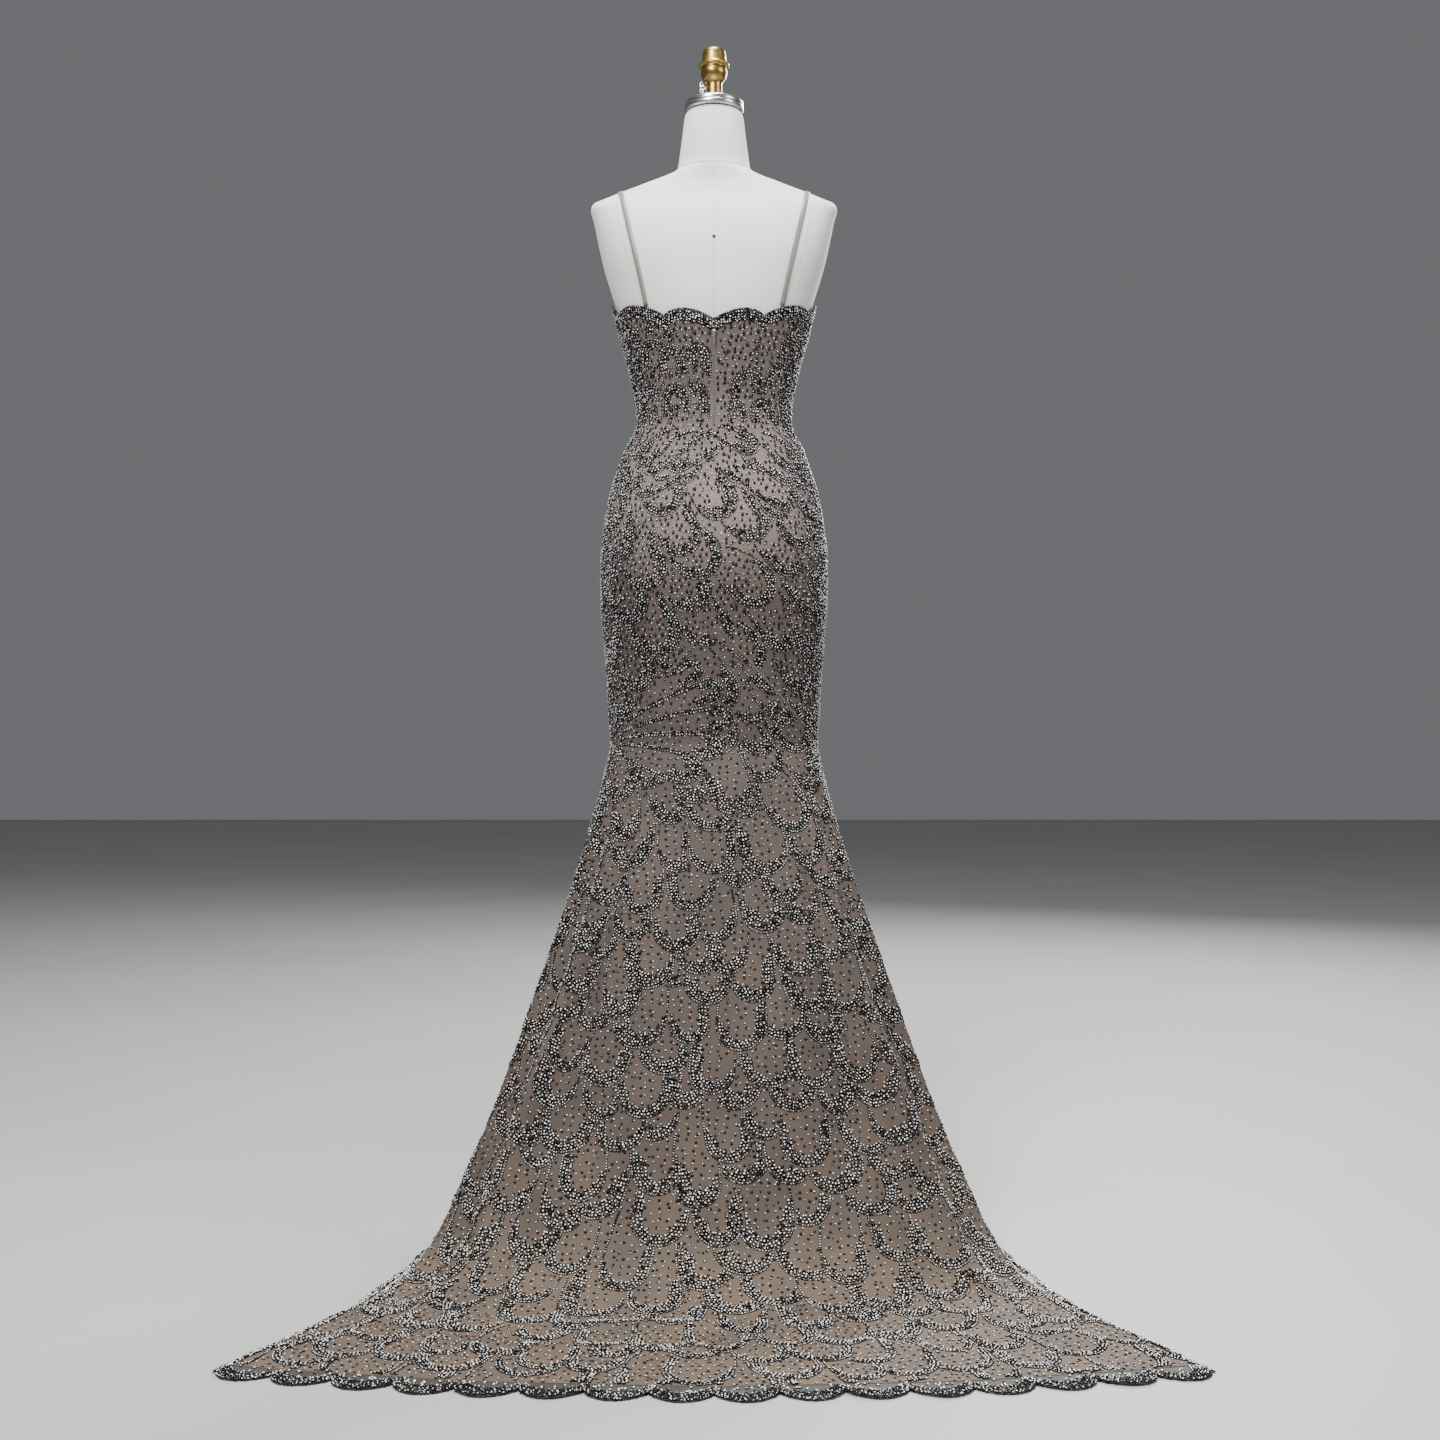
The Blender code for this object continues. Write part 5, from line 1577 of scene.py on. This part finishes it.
def build_form(cover, line):
    """The covered torso and neck, with its welted seams; returns the torso."""
    columns = 120
    bottom_edge = 0.018        # height over which the lower edge rounds in
    drift_from, drift_over = 1.20, 0.34    # heights between which the side seams drift
    neck_seam = 1.581
    thread, neck_thread = 0.00055, 0.0007    # radii of the seams
    degrees = -360.0 * np.arange(columns) / columns
    heights = np.concatenate((np.linspace(FORM_BOTTOM + 0.004, 1.500, 60),
                              np.linspace(1.504, 1.610, 40)[:-1],
                              np.linspace(1.610, NECK_TOP, 14)))
    under = ((0.0, -0.018), (0.002, -0.011))   # height and inset of the rings of its underside
    rings = [body(degrees, FORM_BOTTOM + up, inset, FORM_CUP_DEPTH) for up, inset in under]
    for z in heights:
        inset = -0.0085 * (1.0 - min(1.0, (z - FORM_BOTTOM) / bottom_edge)) ** 1.6
        rings.append(body(degrees, z, inset, FORM_CUP_DEPTH))
    form = ringed("form_cover", np.array(rings), cover,
                  np.array([(0.0, 0.0, FORM_BOTTOM), (0.0, 0.0, NECK_TOP)]))
    ride(form, "form_torso")
    form.data.set_sharp_from_angle(angle=math.radians(50.0))

    for k, (where, drift, top, count) in enumerate(FORM_SEAMS):
        z = np.linspace(FORM_BOTTOM + 0.03, top, count)
        station = where + drift * ramp((z - drift_from) / drift_over)
        path = body(station, z, 0.00005, FORM_CUP_DEPTH)
        ride(tube("form_seam_%d" % k, path, thread, line, squash=0.45, normals=level_out(path)),
             None)
    path = body(np.arange(0.0, 360.0, 4.0), neck_seam, 0.0001, FORM_CUP_DEPTH)
    ride(tube("form_neck_seam_0", path, neck_thread, line, closed=True, squash=0.6,
              normals=level_out(path)), None)
    return form


def build_pin(dark):
    """The small dark pin at the centre back of the form."""
    height = 1.4545
    profile = ((0.0018, -0.0006), (0.0028, 0.0), (0.0022, 0.0010), (0.0006, 0.0014))
    pin = lathe("form_pin", soften(profile, 0.0004), dark, 20)
    lay_over(pin, (0, 2, 1), body(np.array([0.0]), height, 0.0004, FORM_CUP_DEPTH)[0])
    ride(pin, None)


def build_straps(satin, form):
    """Flat tubular straps laid over the shoulders, each with its two sewn ends."""
    skin = BVHTree.FromPolygons([v.co for v in form.data.vertices],
                                [tuple(p.vertices) for p in form.data.polygons])
    front, back = (
        # degrees along the strap, x of the foot, station of the foot
        (228.0, 0.0945, 130.0),
        (-50.0, 0.1000, 49.0),
    )
    centre_z, shoulder_z = 1.450, 1.548
    rest = 0.0011              # height of the strap's underside over the form
    tuck = 0.014               # how far each end runs down inside the gown's top edge
    samples, searches, smoothings = 128, 6, 10
    across = np.array((-1.0, -0.82, 0.0, 0.82, 1.0, 0.82, 0.0, -0.82)) * STRAP_WIDTH / 2
    rise = np.array((0.5, 0.12, 0.0, 0.12, 0.5, 0.88, 1.0, 0.88)) * STRAP_THICK
    for side, name in ((1.0, "strap_left"), (-1.0, "strap_right")):
        path, lean = [], []
        for turn in np.linspace(back[0], front[0], samples):
            _, foot_x, foot_station = back if turn < 90.0 else front
            low = float(top_edge(foot_station))
            x = STRAP_TOP_X
            direction = Vector((0.0, math.cos(math.radians(turn)), math.sin(math.radians(turn))))
            for _ in range(searches):
                start = Vector((side * x, 0.0, centre_z)) + direction * 0.3
                hit, normal, _, _ = skin.ray_cast(start, -direction)
                share = min(max((hit.z - low) / (shoulder_z - low), 0.0), 1.0)
                x = foot_x + (STRAP_TOP_X - foot_x) * share
            if hit.z > low - tuck:
                path.append(tuple(hit))
                lean.append(tuple(normal))
        path, lean = np.array(path), np.array(lean)
        for line in (path, lean) * smoothings:
            line[1:-1] = (line[:-2] + 2.0 * line[1:-1] + line[2:]) / 4.0
        tangents = unit(np.gradient(path, axis=0))
        lean = unit(lean - tangents * (lean * tangents).sum(axis=1, keepdims=True))
        strap = strip(name + "_satin", path, np.cross(tangents, lean), lean, (across, rest + rise),
                      satin)
        ride(strap, name)


def build_metalwork(steel, iron, brass, silver):
    """Neck plate, finial with its thumb screw, pole and base."""
    plate_low = NECK_TOP + SEAM
    plate_top = plate_low + 0.0152
    plate = ((0.0425, plate_low), (0.0452, plate_low + 0.0025), (0.0452, NECK_TOP + 0.0070),
             (0.0446, NECK_TOP + 0.0078), (0.0452, NECK_TOP + 0.0086), (0.0452, plate_top - 0.0020),
             (0.0435, plate_top), (0.0160, plate_top + 0.0001))
    ride(lathe("neck_ring", soften(plate, 0.0012), steel, 96), "neck_plate")
    low, post = plate_top + SEAM, 0.0123
    knob = ((post, low), (post, low + 0.0280), (0.0135, low + 0.0310), (0.0180, low + 0.0365),
            (0.0202, low + 0.0430), (0.0200, low + 0.0490), (0.0184, low + 0.0535),
            (0.0234, low + 0.0545), (0.0234, low + 0.0578), (0.0198, low + 0.0590),
            (0.0190, low + 0.0640), (0.0176, low + 0.0770), (0.0160, low + 0.0792))
    ride(lathe("turned_finial", soften(knob, 0.0022, 6), brass, 96), "finial")

    centre = np.array((post + SEAM, 0.0, low + 0.0225))
    barrel = ((0.0024, 0.0), (0.0024, 0.0030), (0.0046, 0.0034), (0.0046, 0.0090), (0.0036, 0.0100))
    screw = lathe("screw_barrel", soften(barrel, 0.0006), silver, 32)
    lay_over(screw, (2, 1, 0), centre)
    ride(screw, "thumb_screw")
    angle = np.linspace(0.0, np.pi, 14)
    for k, up in enumerate((1.0, -1.0)):
        path = np.stack((centre[0] + 0.0065 + 0.0026 * np.cos(angle) * 0.9, np.zeros(len(angle)),
                         centre[2] + up * (0.0038 + 0.0050 * np.sin(angle))), axis=1)
        ride(tube("screw_wing_%d" % k, path, 0.0011, silver, 10), None)

    pole_radius, socket_radius, base_radius, base_height = 0.0160, 0.0420, 0.170, 0.022
    pole = ((pole_radius, base_height + SEAM), (pole_radius, FORM_BOTTOM - 0.012),
            (socket_radius, FORM_BOTTOM - 0.008), (socket_radius, FORM_BOTTOM - SEAM))
    ride(lathe("stand_pole", soften(pole, 0.0015), steel, 64), "pole")
    disc = ((base_radius, 0.0), (base_radius, 0.0100), (base_radius - 0.0060, 0.0130),
            (0.0450, base_height - 0.0020), (0.0420, base_height))
    ride(lathe("stand_base", soften(disc, 0.0030), iron, 128), "base")


# ---------------------------------------------------------------- the zip and the V seam
def build_zip(tape, silver):
    """Two tape edges that meet over the coil, and its teeth; slider and pull get their metal."""
    bottom, tape_points, teeth = 1.176, 60, 110
    tape_x, tape_width, tape_thick = 0.0011, 0.0016, 0.0006
    tooth = np.array((0.00045, 0.00022, 0.00042))    # half sizes
    heights = np.linspace(float(top_edge(0.0)) - 0.0010, bottom, tape_points)
    section = (np.array((1.0, 0.6, -0.6, -1.0)) * tape_width / 2,
               np.array((0.0, 1.0, 1.0, 0.0)) * tape_thick)
    for k, side in enumerate((-1.0, 1.0)):
        path = body(0.0, heights, GOWN)
        path[:, 0] = side * tape_x
        path[:, 1] += 0.00005
        normals = np.broadcast_to(np.array((0.0, 1.0, 0.0)), path.shape)
        across = unit(np.cross(unit(np.gradient(path, axis=0)), normals))
        ride(strip("zip_tape_%d" % k, path, across, normals, section, tape), None)
    centre = body(0.0, np.linspace(heights[0] - 0.002, heights[-1], teeth), GOWN)
    cube = np.array([(x, y, w) for x in (-1, 1) for y in (-1, 1) for w in (-1, 1)], float)
    quads = np.array(((0, 1, 3, 2), (4, 6, 7, 5), (0, 4, 5, 1), (2, 3, 7, 6), (0, 2, 6, 4),
                      (1, 5, 7, 3)))
    centre[:, 0] = np.where(np.arange(teeth) % 2, 0.0001, -0.0001)
    centre[:, 1] += 0.0002
    vertices = centre[:, None] + cube[None] * tooth
    faces = (quads[None] + (np.arange(teeth) * len(cube))[:, None, None]).reshape(-1, 4)
    ride(new_object("zip_teeth", vertices.reshape(-1, 3), faces, silver, smooth=False), None)
    for node in ("zip_slider", "zip_pull"):
        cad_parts[node].data.materials.clear()
        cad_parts[node].data.materials.append(silver)


def build_seam_cord(thread):
    """The fine ridge of the V seam at the back."""
    stations = np.arange(-60.0, 60.5, 1.0)
    path = body(stations, hip_seam(stations), GOWN + 0.0003)
    ride(tube("v_seam_cord", path, 0.0006, thread, squash=0.6, normals=level_out(path)), None)


# ---------------------------------------------------------------- floor, light and camera
def build_stage():
    """A plain pale floor, a soft grey surround and wide soft lights."""
    half_size, below = 14.0, 0.0004    # the floor's half width, and its depth under the part
    finish = Finish("pale_floor", 0.55)
    finish.set("Base Color", finish.colours(
        finish.noise(1.5, 3.0), ((0.3, (0.43, 0.425, 0.42)), (0.7, (0.46, 0.455, 0.45)))))
    corners = np.array([(-1, -1), (1, -1), (1, 1), (-1, 1)]) * half_size
    corners = np.column_stack((corners, np.full(4, -below)))
    new_object("floor", corners, np.array([(0, 1, 2, 3)]), finish.material)

    world = bpy.data.worlds.new("studio")
    world.use_nodes = True
    background = world.node_tree.nodes["Background"]
    background.inputs["Color"].default_value = (0.155, 0.158, 0.166, 1.0)
    background.inputs["Strength"].default_value = 1.0
    bpy.context.scene.world = world

    lamps = (
        # name, place, aim, size, power
        ("key", (1.3, 3.0, 3.4), (0.0, 0.1, 0.9), 1.1, 190.0),
        ("over", (0.0, 0.7, 3.8), (0.0, 0.2, 0.6), 1.2, 180.0),
        ("side", (-2.9, 1.6, 2.4), (0.0, 0.0, 0.9), 1.0, 46.0),
        ("front", (-1.6, -3.2, 2.8), (0.0, 0.0, 0.9), 1.6, 190.0),
    )
    for name, place, aim, size, power in lamps:
        light = bpy.data.lights.new(name, "AREA")
        light.size = size
        light.energy = power
        lamp = bpy.data.objects.new(name, light)
        lamp.location = place
        lamp.rotation_euler = (Vector(aim) - Vector(place)).to_track_quat("-Z", "Y").to_euler()
        bpy.context.scene.collection.objects.link(lamp)


def build_camera():
    """Level, behind the wearer; the shift sets the part in the frame as the photo has it."""
    focal_pixels, frame_pixels = 1700.0, 1440.0
    shift_right_pixels, shift_up_pixels = 6.0, 28.0
    distance, height = 2.6, 0.70       # from the pole's axis, and above the floor
    data = bpy.data.cameras.new("camera")
    data.sensor_width = 36.0
    data.lens = focal_pixels / frame_pixels * data.sensor_width
    data.shift_x = shift_right_pixels / frame_pixels
    data.shift_y = shift_up_pixels / frame_pixels
    data.clip_end = 60.0
    camera = bpy.data.objects.new("camera", data)
    camera.location = (0.0, distance, height)
    camera.rotation_euler = (math.radians(90.0), 0.0, math.radians(180.0))
    bpy.context.scene.collection.objects.link(camera)
    bpy.context.scene.camera = camera


# ---------------------------------------------------------------- everything
def main():
    """Builds camera and stage, the cloth, the form and its fittings, and then the beads."""
    build_camera()
    build_stage()
    net, sheer = net_material(), sheer_material()
    satin = satin_material("taupe_satin", (0.330, 0.250, 0.205), (0.385, 0.300, 0.250))
    webbing = satin_material("strap_satin", (0.190, 0.152, 0.136), (0.225, 0.184, 0.166))
    cover = knit_material("form_cover_cloth", (0.680, 0.678, 0.660), (0.740, 0.738, 0.722))
    seam_line = knit_material("form_seam_thread", (0.46, 0.45, 0.44), (0.52, 0.51, 0.50))
    thread = knit_material("net_edge_thread", (0.150, 0.128, 0.118), (0.190, 0.165, 0.153))
    tape = knit_material("zip_tape", (0.088, 0.072, 0.066), (0.110, 0.092, 0.085))
    steel = metal_material("satin_steel", (0.38, 0.38, 0.39), (0.60, 0.60, 0.61), 0.26)
    brass = metal_material("turned_brass", (0.27, 0.165, 0.040), (0.52, 0.355, 0.120), 0.30)
    silver = metal_material("bright_plate", (0.70, 0.70, 0.70), (0.85, 0.85, 0.84), 0.18, 200.0)
    iron = paint_material()
    materials = {
        # The crystal and silver ramps paint shade round each bead's foot and a highlight on its top.
        "crystal": bead_material("crystal_beads", (
            (0.00, (0.003, 0.003, 0.003)), (0.46, (0.008, 0.007, 0.007)), (0.53, (0.46, 0.45, 0.43)),
            (0.68, (0.84, 0.83, 0.81)), (0.86, (0.99, 0.98, 0.96))), 0.26, 0.10),
        "silver": bead_material("silver_dots", (
            (0.00, (0.008, 0.007, 0.007)), (0.30, (0.020, 0.018, 0.017)), (0.40, (0.70, 0.69, 0.67)),
            (0.56, (0.98, 0.97, 0.95))), 0.22, 0.15),
        "dark": bead_material("dark_drops", (
            (0.0, (0.006, 0.004, 0.004)), (1.0, (0.030, 0.018, 0.015))), 0.30, 0.2),
    }

    build_bodice_and_hips(net)
    charts = build_lower(net)
    build_bands(sheer, materials)
    build_lining(satin)
    form = build_form(cover, seam_line)
    build_pin(iron)
    build_straps(webbing, form)
    build_metalwork(steel, iron, brass, silver)
    build_zip(tape, silver)
    build_seam_cord(thread)

    bead_upper(materials)
    bead_lower("train", charts["train"], materials, 30, -48.0, FAN)
    bead_lower("side_left", charts["side_left"], materials, 40, 16.0)
    bead_lower("front", charts["front"], materials, 50, -12.0)


main()
